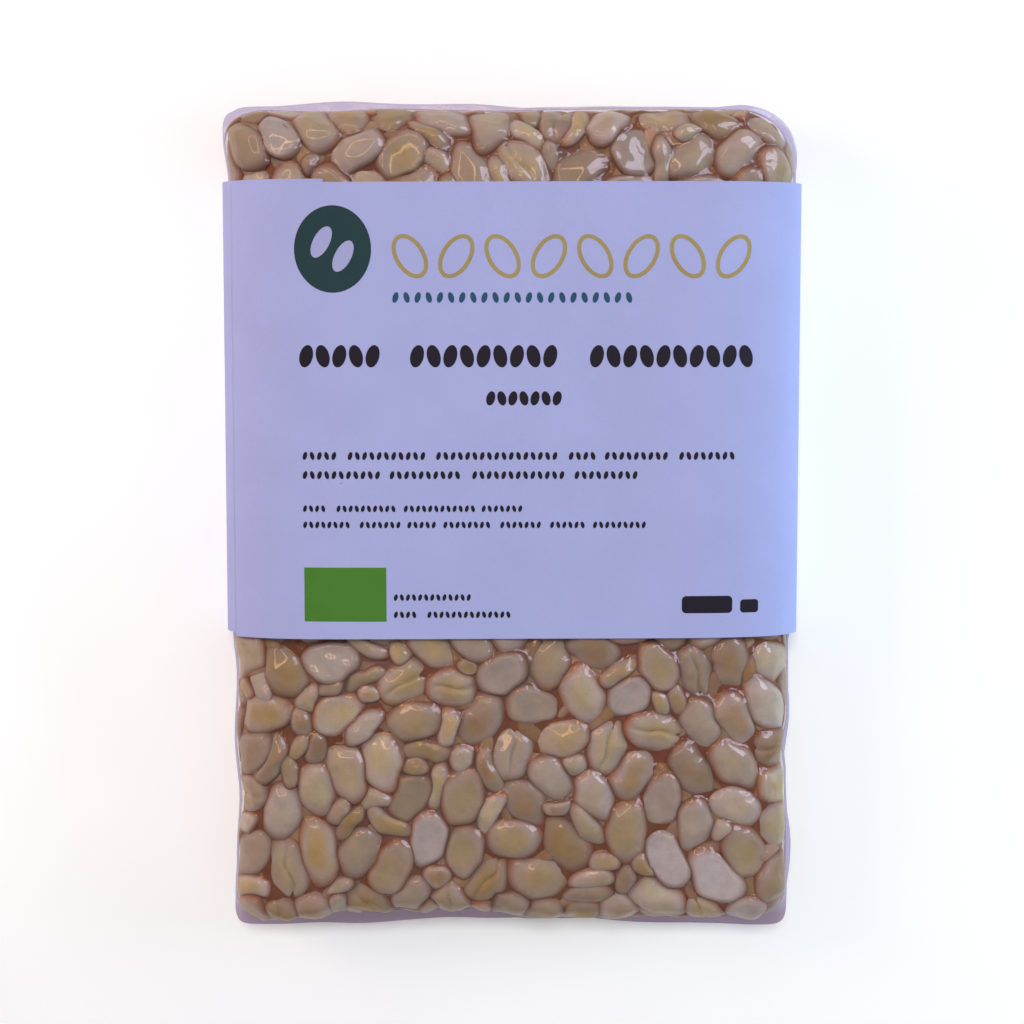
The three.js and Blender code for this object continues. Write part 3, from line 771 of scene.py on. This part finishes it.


def film_material(name, tint, gloss=0.75, roughness=0.035, wrinkle=0.012, shadow_tint=None):
    """Clear film with a gloss that grows towards a grazing view, misted where it hangs free; a second tint,
    if given, is painted shadow towards the lower end.
    """
    nodes = Nodes(name)
    through = rgba(tint)
    # A darker, pinker tint towards the lower end: painted shadow of the block.
    if shadow_tint:
        along = nodes.add("SeparateXYZ", {0: nodes.place()}).outputs["Y"]
        in_shadow = nodes.span(along, SHADOW_FROM_Y * MM, SHADOW_TO_Y * MM)
        through = nodes.blend(in_shadow, rgba(tint), rgba(shadow_tint))
    normal = nodes.bump(nodes.math("ADD", nodes.noise(0.8, 3.0, 0.6), nodes.noise(3.0, 2.0)), wrinkle)
    fresnel = nodes.add("Fresnel", {"IOR": 1.5, "Normal": normal}).outputs[0]
    strength = nodes.span(fresnel, 0.04, 0.5, 0.05, 0.3 * gloss)
    glosses = []
    for colour, spread in ((WHITE, roughness), (WARM, BROAD_ROUGHNESS)):
        links = {"Color": colour, "Roughness": spread, "Normal": normal}
        glosses.append(nodes.add("BsdfGlossy", links).outputs[0])
    clear = nodes.add("BsdfTransparent", {"Color": through}).outputs[0]
    mist = nodes.add("BsdfDiffuse", {"Color": rgba(MIST), "Normal": normal}).outputs[0]
    loose = nodes.add("Attribute", attribute_name="tint").outputs["Fac"]
    misted = nodes.mix(nodes.span(loose, 0, 1, 0, MIST_SHARE), clear, mist)
    return nodes.finish("MixShader", {0: strength, 1: misted, 2: nodes.mix(SHEEN, *glosses)})


SPECK_PITCH = 8.0


def paper_material(name, colour, grain=0.03, specks=0.0):
    """Smooth uncoated paper or print on it: faint cloudiness, fibres, a fine tooth, and a few dark specks."""
    nodes = Nodes(name)
    cloud = nodes.span(nodes.noise(14.0, 3.0), 0.3, 0.7, 1 - grain, 1 + grain)
    fibre = nodes.span(nodes.noise(0.45, 4.0, 0.7), 0.25, 0.75, 1 - grain, 1 + grain)
    base = nodes.toned(tuple(map(float, colour)), cloud, fibre)
    if specks:
        cells = nodes.add("TexVoronoi", {"Vector": nodes.place(), "Scale": 1 / (SPECK_PITCH * MM)})
        size = nodes.span(cells.outputs["Color"], 0.5, 1, 0, specks / SPECK_PITCH)
        inside = nodes.math("LESS_THAN", cells.outputs["Distance"], size)
        base = nodes.blend(inside, base, rgba(linear(92, 88, 120)))
    links = {
        "Base Color": base,
        "Roughness": 0.62,
        "Specular IOR Level": 0.3,
        "Normal": nodes.bump(nodes.noise(0.25, 3.0, 0.6), 0.012),
    }
    return nodes.finish("BsdfPrincipled", links)


# ---- The tempeh: beans, what binds them, and the film ----


def join_sides(pieces):
    """The points, triangles, quads and colours of both faces' beans."""
    parts, start = [], 0
    for side, beans in pieces.items():
        rings, skip = (FEWER_RINGS, 2) if beans.kind[0] == "below" else (DOME_RINGS, 1)
        where, rho = place_beans(beans, side, rings, skip)
        colours = bean_colours(beans, where, rho).reshape(-1, 4)
        tris, quads = (faces[:, ::side] + start for faces in bean_faces(*rho.shape, ANGLES // skip))
        parts.append((where.reshape(-1, 3), tris, quads, colours))
        start += rho.size
    return map(np.concatenate, zip(*parts))


def make_beans(sides, material):
    """One piece for each kind of bean, both faces together."""
    tests = {
        "beans_domed": lambda b: (b.kind == "half") & ~b.cut,
        "beans_cut_face": lambda b: (b.kind == "half") & b.cut,
        "beans_on_edge": lambda b: b.kind == "edge",
        "bean_chips": lambda b: b.kind == "chip",
        "beans_below": lambda b: b.kind == "below",
    }
    pieces = []
    for name, test in tests.items():
        chosen = {side: beans.pick(test(beans)) for side, beans in sides.items()}
        points, tris, quads, colours = join_sides(chosen)
        pieces.append(make_mesh(name, points, [tris, quads], material, colours))
    return pieces


def sheet_grid(step):
    """The sheet's grid as plan points: fine where it shows, coarse under the sleeve, ending at the seam."""
    s = np.linspace(-SHEET_X, SHEET_X, int(2 * SHEET_X / step) | 1)
    lower = np.linspace(-SHEET_Y, HIDDEN_FROM_Y, int((HIDDEN_FROM_Y + SHEET_Y) / step))
    hidden = np.linspace(HIDDEN_FROM_Y, HIDDEN_TO_Y, HIDDEN_STEPS)[1:-1]
    upper = np.linspace(HIDDEN_TO_Y, SHEET_Y, int((SHEET_Y - HIDDEN_TO_Y) / step))
    return plan_of(*np.meshgrid(s, np.concatenate([lower, hidden, upper])))


def matrix_heights(u, v, side):
    """How high what binds the beans reaches, everywhere far below the block's outer surface."""
    return -MATRIX_DEPTH + 0.3 * ripples(u, v, 11 + side, 4.0) + 0.08 * ripples(u, v, 21 + side, 1.3)


def make_matrix(material):
    """The block's core: one closed skin from two draped grids, joined where they meet at the seam's level."""
    u, v = sheet_grid(MATRIX_STEP)
    points = [drape(u, v, matrix_heights(u, v, side), side) for side in (FRONT, BACK)]
    return make_mesh("mycelium_core", points, [shell_faces(u)], material)


def stretch_film(floor, fixed, held):
    """Lowers a taut sheet on the beans: it rests on every crest and is pressed in a little between them."""
    h = np.maximum(floor, 0.0)
    for _ in range(FILM_ROUNDS):
        around = np.pad(h, 1, mode="edge")
        mean = (around[2:, 1:-1] + around[:-2, 1:-1] + around[1:-1, 2:] + around[1:-1, :-2]) / 4
        h = np.where(fixed, held, np.maximum(floor, mean - FILM_PRESS))
    return h


def star_folds(u, v, hollows, seed):
    """Small folds that run out from each hollow, where a bean of the layer below is."""
    rng = np.random.default_rng(seed)
    height = np.zeros(u.shape)
    for at_u, at_v in zip(hollows.u, hollows.v):
        near = np.hypot(u - at_u, v - at_v) < FOLD_REACH
        du, dv = u[near] - at_u, v[near] - at_v
        far = np.hypot(du, dv) / FOLD_REACH
        count, phase, twist = rng.integers(4, 8), rng.uniform(0, math.tau), rng.uniform(-2, 2)
        ridge = 1 - np.abs(np.sin((count * np.arctan2(dv, du) + phase + far * twist) / 2)) * 1.5
        height[near] += FOLD * ridge * smoothstep(far / 0.25) * (1 - smoothstep((far - 0.3) / 0.7))
    return height


def film_sheet(side, beans):
    """One sheet of the pouch: its points, its faces and its outer edge."""
    u, v = sheet_grid(FILM_STEPS[side])
    floor = np.maximum(height_field(beans, u, v), matrix_heights(u, v, side)) + FILM_CLEAR
    hidden = (v > HIDDEN_FROM_Y) & (v < HIDDEN_TO_Y)
    edge = np.zeros(u.shape, bool)
    edge[[0, -1], :] = edge[:, [0, -1]] = True
    held = np.where(edge, FILM_ROOT, -0.1)
    h = stretch_film(floor, edge | hidden, held)
    bare = smoothstep(past_sleeve(v) / 1.5) * ~edge
    loose = smoothstep((h - floor - 0.05) / 0.7)
    ridges = 1 - np.abs(ripples(u, v, 31 + side, 2.6)) * 1.6
    waves = loose * (0.14 * ridges + 0.05 * ripples(u, v, 41 + side, 1.1))
    h = h + bare * (waves + star_folds(u, v, beans.pick(beans.kind == "below"), 91 + side))
    points = drape(u, v, h, side)
    loop = edge_loop(u)
    misty = np.repeat(smoothstep((h - floor - 0.1) / 0.9).reshape(-1, 1), 4, 1)
    return points, grid_faces(*u.shape, side), misty, (u.ravel()[loop], v.ravel()[loop])


def film_reach(side, along, y):
    """How far the film reaches from the block's middle on one side. It weaves only clear of the paper."""
    reach, ripple, ripple_phase, swell, swell_phase = FILM_EDGES[side]
    waves = ripple * np.sin(along / RIPPLE + ripple_phase) + swell * np.sin(along / SWELL + swell_phase)
    return reach + waves * smoothstep(past_sleeve(y) / 4)


def edge_along(centre, way, reach, power, root):
    """One coordinate of the film's edge, reached for from a corner's centre, and never too near the root."""
    out = centre + np.sign(way) * (reach - np.abs(centre)) * np.abs(way) ** power
    least = np.sign(way) * np.maximum(np.abs(out), np.abs(root) + LEAST_SEAM)
    return np.where(np.abs(way) > 0.7, least, out)


def film_outline(x, y, nx, ny):
    """Where the film's edge lies outside each root point, whose way out is (nx, ny)."""
    radius = corner_radius(nx, ny)
    cx, cy = x - nx * (radius + FILM_ROOT), y - ny * (radius + FILM_ROOT)
    reach_x = np.where(nx < 0, film_reach("left", cy, cy), film_reach("right", cy, cy))
    edge_y = cy + ny * radius
    reach_y = np.where(ny < 0, film_reach("bottom", cx, edge_y), film_reach("top", cx, edge_y))
    power = 2 / np.where((nx > 0) & (ny > 0), ROUND_CORNER, SQUARE_CORNER)
    out_x = edge_along(cx, nx, reach_x, power, x)
    out_y = edge_along(cy, ny, reach_y, power, y)
    low, high = PACK_LOW[1] - BLOCK_CENTRE_Y + 0.01, PACK_HIGH[1] - BLOCK_CENTRE_Y - 0.01
    return out_x, low + (out_y - out_y.min()) / np.ptp(out_y) * (high - low)


def make_seam(u, v, material):
    """The sealed edge: two layers of film as one thin band round the pouch, waving a little up and down."""
    nx, ny, _ = way_out(u, v)
    x, y, _ = drape(u, v, np.full(u.shape, FILM_ROOT), FRONT).T
    edge_x, edge_y = film_outline(x, y, nx, ny)
    lift = 0.3 * ripples(edge_x, edge_y, 51, 11.0)
    section = ((-0.3, 0.12), (0.0, 0.12), (0.33, 0.09), (0.66, 0.08), (0.95, 0.08), (1.0, 0.0))
    rings = []
    for share, half in (*section, *[(a, -b) for a, b in section[-2::-1]]):
        z = SEAM_Z + half + lift * max(share, 0)
        rings.append(np.stack([x + (edge_x - x) * share, y + (edge_y - y) * share, z], 1))
    loops = np.arange(len(rings) * len(x)).reshape(len(rings), -1)
    quads = np.concatenate([band(a, b) for a, b in zip(loops, np.roll(loops, -1, 0))])
    return make_mesh("sealed_edge", rings, [quads], material)


def make_pouch():
    """The tempeh and its film, in place of the plain solid."""
    beans, binding = bean_material(), matrix_material()
    clear = film_material("clear_film", (0.97, 0.965, 0.975))
    # The sealed film's last tint is painted shadow along its lower end.
    sealed = film_material("sealed_film", (0.74, 0.715, 0.84), 1.0, 0.12, 0.04, (0.67, 0.59, 0.67))
    sides = {}
    for side, seed in SEEDS.items():
        top = fill_gaps(scatter_beans(seed), seed + 1)
        below = beans_below(top, seed)
        sides[side] = together(give_shape(top, seed), give_shape(below, seed + 1))
    pieces = [*make_beans(sides, beans), make_matrix(binding)]
    for side, name in ((FRONT, "film_front"), (BACK, "film_back")):
        points, faces, misty, roots = film_sheet(side, sides[side])
        pieces.append(make_mesh(name, points, [faces], clear, misty))
    pieces.append(make_seam(*roots, sealed))
    for piece in pieces:
        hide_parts("tempeh_pack")


# ---- The paper sleeve ----

PAPER_HALF = SLEEVE_HIGH[0] - PAPER / 2
FRONT_TALL = FRONT_Z + PAPER_GAP + PAPER / 2 - SEAM_Z
BACK_TALL = SEAM_Z - PAPER / 2
PAPER_WAVE = 0.06  # half the height between the paper's highest and lowest places
HEM = 0.0008  # the share of the paper's height that its rounded rims take
INK = 0.03  # how far one layer of print stands over the paper, or over the layer below


def on_front(x):
    """The middle of the paper over the front: rows of x, z and the way out."""
    share = np.minimum(np.abs(x) / PAPER_HALF, 1)
    height = np.sqrt(1 - share**SLEEVE_DOME)
    slope = SLEEVE_DOME * np.sign(x) * share ** (SLEEVE_DOME - 1) / PAPER_HALF
    out = unit(np.stack([slope, 2 * height / FRONT_TALL], -1))
    return np.concatenate([np.stack([x, SEAM_Z + FRONT_TALL * height], -1), out], -1)


def raised(path):
    """Lifts the front's outer layer over the hidden end."""
    rise = LAYER_RISE * smoothstep((RISE_FROM_X - path[:, :1]) / (RISE_FROM_X - OVERLAP_FROM_X - 1))
    return np.concatenate([path[:, :2] + path[:, 2:] * rise, path[:, 2:]], 1)


def sleeve_path():
    """The middle of the paper seen along Y: from the hidden end, round the back, to the outer end."""

    def back_corner(x, start, steps=20):
        angle = np.radians(start + 90 * np.arange(steps + 1) / steps)
        out = unit(np.stack([np.cos(angle) / SLEEVE_SIDE, np.sin(angle) / BACK_TALL], 1))
        place = [x + SLEEVE_SIDE * np.cos(angle), SEAM_Z + BACK_TALL * np.sin(angle)]
        return np.concatenate([np.stack(place, 1), out], 1)

    degrees = np.arange(3, 84, 3)
    shoulder = PAPER_HALF * np.cos(np.radians(degrees)) ** (2 / SLEEVE_DOME)
    plain = np.arange(-24, 25, 2.4)
    front = np.concatenate([shoulder, plain[::-1], -shoulder[::-1]])
    flat_back = PAPER_HALF - SLEEVE_SIDE
    back = np.linspace(-flat_back, flat_back, 40)[1:-1]
    along_back = np.stack([back, 0 * back + PAPER / 2, 0 * back, 0 * back - 1], 1)
    return np.concatenate([
        on_front(np.append(OVERLAP_FROM_X, front[front < OVERLAP_FROM_X - 0.5])),
        back_corner(-flat_back, 180),
        along_back,
        back_corner(flat_back, 270),
        raised(on_front(np.append(front[front > OUTER_END_X + 0.3], OUTER_END_X))),
    ])  # fmt: skip


def paper_wave(x, y):
    """How far the paper on the front lies below its highest course. It always leaves room for the print."""
    dip = PAPER_WAVE * (1 - np.clip(ripples(x, y, 61, 26.0), -1, 1)) + INK
    return -dip * (1 - np.minimum(np.abs(x) / PAPER_HALF, 1) ** 8)


def make_sleeve(material):
    """A strip of paper wrapped once round the pouch, its ends lapped on the front, out of line."""
    path = sleeve_path()
    steps = np.hypot(*np.diff(path[:, :2], axis=0).T)
    travelled = np.concatenate([[0], np.cumsum(steps)])
    slip = SKEW * (0.5 - travelled / travelled[-1])
    rows = 44
    shares = np.concatenate([[0, HEM], np.linspace(0, 1, rows - 2)[1:-1], [1 - HEM, 1]])
    y = SLEEVE_FROM_Y + slip[:, None] + shares * (SLEEVE_TO_Y - SLEEVE_FROM_Y)
    x, z, out_x, out_z = (path[:, i : i + 1] for i in range(4))
    wave = paper_wave(x, y) * (out_z > 0)
    halves = (PAPER / 2, -PAPER / 2)
    skins = [np.stack([x + out_x * (half + wave), y, z + out_z * (half + wave)], 2) for half in halves]
    sleeve = make_mesh("sleeve_paper", skins, [shell_faces(y)], material)
    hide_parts("paper_sleeve")


def paper_face(x, y):
    """The height of the front's outer face."""
    _, z, _, out_z = raised(on_front(x)).T
    return z + (PAPER / 2 + paper_wave(x, y)) / out_z


# ---- The print: plain fields and strings of bean shapes, laid out as ours ----


class Print:
    """Gathers flat shapes of one colour and makes them one thin closed piece on the paper."""

    def __init__(self):
        self.points, self.faces = np.empty((0, 2)), np.empty((0, 4), int)

    def add(self, one_edge, other_edge, faces):
        """Adds a shape between two edges of as many points."""
        self.faces = np.concatenate([self.faces, faces + len(self.points)])
        self.points = np.concatenate([self.points, one_edge, other_edge])

    def strip(self, upper, lower):
        """A shape between two edges from left to right."""
        self.add(upper, lower, grid_faces(2, len(upper), BACK))

    def bar(self, left, right, low, high, rounding):
        """A bar. rounding is the share of half its height that its round corners take."""
        half, middle = (high - low) / 2, (high + low) / 2
        radius = half * rounding
        turn = np.linspace(0, math.pi / 2, 7)
        ends = np.concatenate([left + radius * (1 - np.cos(turn)), right - radius * (1 - np.cos(turn[::-1]))])
        between = np.arange(left + radius, right - radius, 2.0)[1:]
        x = np.unique(np.concatenate([ends, between]).round(5))
        inward = np.maximum(np.maximum(left + radius - x, x - right + radius), 0)
        reach = half - radius + np.sqrt(np.maximum(radius**2 - inward**2, 0))
        self.strip(np.stack([x, middle + reach], 1), np.stack([x, middle - reach], 1))

    def oval(self, x, y, long, wide, tilt=0.0, line=None, sides=48):
        """A filled oval, or with a line width an outlined one."""
        turn = (np.arange(sides) + 0.5) * math.tau / sides

        def ring(a, b):
            return np.stack(turned(a * np.cos(turn), b * np.sin(turn), math.radians(tilt)), 1) + (x, y)

        edge = ring(long, wide)
        if line:
            k = np.arange(sides)
            self.add(edge, ring(long - line, wide - line), band(k + sides, k))
        else:
            self.strip(edge[: sides // 2][::-1], edge[sides // 2 :])

    def beans(self, left, right, y, tall, wide, pitch, tilt=16):
        """A string of little upright beans, leaning to and fro, in place of a word."""
        count = max(int((right - left - 2 * wide) / pitch) + 1, 1)
        for i in range(count):
            lean = 90 + (tilt if i % 2 else -tilt)
            self.oval(left + wide + i * pitch, y, tall, wide, lean, sides=12 if tall < 1 else 24)

    def make(self, name, colour, grain, layer=1):
        """Closes the shapes to one thin piece, which stands a layer of ink or two over the paper."""
        faces, count = self.faces, len(self.points)
        face_z = paper_face(*self.points.T)
        top = np.column_stack([self.points, face_z + INK * layer])
        bottom = np.column_stack([self.points, face_z - INK])
        edges = np.concatenate([faces[:, [i, (i + 1) % 4]] for i in range(4)])
        twins = {tuple(edge) for edge in edges[:, ::-1].tolist()}
        rim = np.array([edge for edge in edges.tolist() if tuple(edge) not in twins])
        walls = np.stack([rim[:, 1], rim[:, 0], rim[:, 0] + count, rim[:, 1] + count], 1)
        skins = [faces, faces[:, ::-1] + count, walls]
        ink = paper_material(name + "_ink", linear(*colour), grain)
        piece = make_mesh(name, [top, bottom], skins, ink, smooth=False)
        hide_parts("paper_sleeve")


# Strings of dark beans: half a bean's height and width, the pitch and the lean, then each line's strings.
TITLE, SUBTITLE = (1.95, 1.15, 2.85, 14), (1.25, 0.75, 1.9, 14)
SMALL, FINE = (0.72, 0.38, 1.25), (0.6, 0.32, 1.05)
LINES = {
    28.2: (TITLE, (-36.4, -21.0), (-17.4, 9.6), (13.4, 41.8)),
    21.0: (SUBTITLE, (-4.4, 9.8)),
    11.1: (SMALL, (-36, -29.6), (-28.2, -14.6), (-13, 8.4), (9.8, 14.6), (16, 27.4), (28.8, 38.6)),
    7.8: (SMALL, (-36, -22.4), (-21, -8.2), (-6.8, 9.4), (10.8, 22)),
    2.0: (FINE, (-36, -31.2), (-30.2, -19.6), (-18.6, -6.2), (-5.2, 1.8)),
    -0.8: (FINE, (-36, -27.2), (-26.2, -19), (-18, -12.8), (-11.8, -3), (-2, 5.6), (6.6, 13), (14, 23.6)),
    -13.4: (FINE, (-20.4, -6.4)),
    -16.4: (FINE, (-20.4, -15.6), (-14.6, 0.6)),
}


def make_print():
    """A green roundel with pale seeds, gold seed outlines, strings of dark beans, and a green field."""
    green = Print()
    green.oval(-30.6, 46.4, 6.6, 7.4)
    green.make("print_dark_green", (25, 58, 62), 0.06)

    seeds = Print()
    for x, y, tilt in ((-32.5, 47.6, 62), (-28.8, 45.2, 62)):
        seeds.oval(x, y, 2.9, 1.4, tilt)
    seeds.make("print_pale_seeds", (168, 170, 214), 0.03, 2)

    gold = Print()
    for i in range(8):
        gold.oval(-17.4 + 7.9 * i, 45.2, 4.1, 2.6, 58 if i % 2 else -58, line=0.7)
    gold.make("print_gold_outlines", (166, 146, 92), 0.08)

    teal = Print()
    teal.beans(-20.4, 20.6, 38.2, 0.95, 0.5, 1.9)
    teal.make("print_teal_beans", (34, 78, 106), 0.05)

    dark = Print()
    for y, (size, *strings) in LINES.items():
        for left, right in strings:
            dark.beans(left, right, y, *size)
    dark.bar(29.4, 38.2, -16.2, -13.2, 0.5)
    dark.bar(39.6, 42.8, -16.2, -13.9, 0.5)
    dark.make("print_dark_beans", (22, 18, 32), 0.08)

    field = Print()
    field.bar(-35.9, -21.7, -17.6, -8.2, 0.02)
    field.make("print_green_field", (71, 127, 40), 0.06)


# ---- Floor, lights and camera ----

VIEW_POINT = (0.0, 33.0, 367.0)  # the lens, 350 mm over the front face
VIEW_TILT = 5.0  # degrees off the plumb line
VIEW_SHARE = 2042 / 1024  # the lens's length for each unit of the picture's width
SENSOR = 36
FLOOR_REACH = 3000


def stage_piece(name, points, faces, material):
    """A piece that is there for the picture alone, from points in millimetres."""
    mesh = bpy.data.meshes.new(name)
    mesh.from_pydata([tuple(p * MM) for p in np.asarray(points, float)], [], faces)
    mesh.materials.append(material)
    piece = bpy.data.objects.new(name, mesh)
    bpy.context.scene.collection.objects.link(piece)
    return piece


def emitter(name, points, faces, colour, strength):
    """A glowing piece that only the film and other glossy faces mirror."""
    glow = Nodes(name).finish("Emission", {"Color": rgba(colour), "Strength": strength})
    stage_piece(name, points, faces, glow).visible_diffuse = False


def facing_frame(place):
    """Two directions across the line from a place to the pack's middle."""
    away = -unit(place)
    across = unit(np.cross(away, (0, 0, 1)))
    return across, np.cross(across, away)


def ring_lamp(place, radius, width, colour, strength):
    """A flat glowing ring that faces the pack."""
    across, up = facing_frame(place)
    turn = np.linspace(0, math.tau, 33)[:-1, None]
    rim = np.cos(turn) * across + np.sin(turn) * up
    points = place + np.concatenate([radius * rim, (radius - width) * rim])
    k = np.arange(len(turn))
    emitter("warm_ring_lamp", points, band(k, k + len(turn)).tolist(), colour, strength)


def window_panes(place, width, height, colour, strength):
    """A bright window of two panes that faces the pack."""
    across, up = facing_frame(place)
    columns = [place + share * width * across for share in (-0.5, -0.04, 0.04, 0.5)]
    points = [column + share * height * up for column in columns for share in (-0.5, 0.5)]
    emitter("cool_window", points, [(0, 2, 3, 1), (4, 6, 7, 5)], colour, strength)


def area_light(name, place, size, energy, colour):
    """A square lamp that shines on the frame's origin and isn't mirrored."""
    data = bpy.data.lights.new(name, "AREA")
    data.size = size * MM
    data.energy = energy
    data.color = colour
    light = bpy.data.objects.new(name, data)
    light.location = Vector(place) * MM
    light.rotation_euler = (-Vector(place)).to_track_quat("-Z", "Y").to_euler()
    light.visible_glossy = False
    bpy.context.scene.collection.objects.link(light)


def make_floor():
    """A white floor that glows a little, so that it is as bright as the photo's background."""
    nodes = Nodes("floor")
    tone = nodes.span(nodes.noise(60.0, 2.0), 0.3, 0.7, 0.93, 0.97)
    colour = nodes.add("CombineColor", {0: tone, 1: tone, 2: tone}).outputs[0]
    links = {"Base Color": colour, "Roughness": 0.8, "Emission Color": colour, "Emission Strength": 0.18}
    corners = np.array([(-1, -1, 0), (1, -1, 0), (1, 1, 0), (-1, 1, 0)]) * FLOOR_REACH
    stage_piece("floor", corners, [(0, 1, 2, 3)], nodes.finish("BsdfPrincipled", links))


def make_lights():
    """A pale sky, three soft lights, and a ring and a window for the film to mirror."""
    scene = bpy.context.scene
    scene.view_settings.view_transform = "Standard"
    scene.world = bpy.data.worlds.new("studio")
    scene.world.use_nodes = True
    sky = scene.world.node_tree.nodes["Background"]
    sky.inputs["Color"].default_value = (0.93, 0.95, 1.0, 1)
    sky.inputs["Strength"].default_value = 0.34
    ring_lamp(np.array([-120.0, 190.0, 430.0]), 150, 26, linear(255, 205, 160), 9.0)
    window_panes(np.array([300.0, 230.0, 370.0]), 330, 230, linear(222, 218, 255), 8.0)
    area_light("soft_top", (-30, 600, 1500), 440, 14.4, (1.0, 0.965, 0.945))
    area_light("cool_side", (520, 40, 110), 200, 1.5, (0.42, 0.75, 1.0))
    area_light("warm_side", (-480, 200, 230), 200, 0.9, (1.0, 0.68, 0.6))


def make_camera():
    """The photo's camera, fitted to the sleeve's edges."""
    data = bpy.data.cameras.new("camera")
    data.sensor_width = SENSOR
    data.sensor_fit = "HORIZONTAL"
    data.lens = SENSOR * VIEW_SHARE
    data.clip_start, data.clip_end = 0.01, 20
    camera = bpy.data.objects.new("camera", data)
    camera.location = Vector(VIEW_POINT) * MM
    camera.rotation_euler = (-math.radians(VIEW_TILT), 0, 0)
    bpy.context.scene.collection.objects.link(camera)
    bpy.context.scene.camera = camera


make_pouch()
make_sleeve(paper_material("lavender_paper", linear(173, 178, 226), specks=0.3))
make_print()
make_floor()
make_lights()
make_camera()
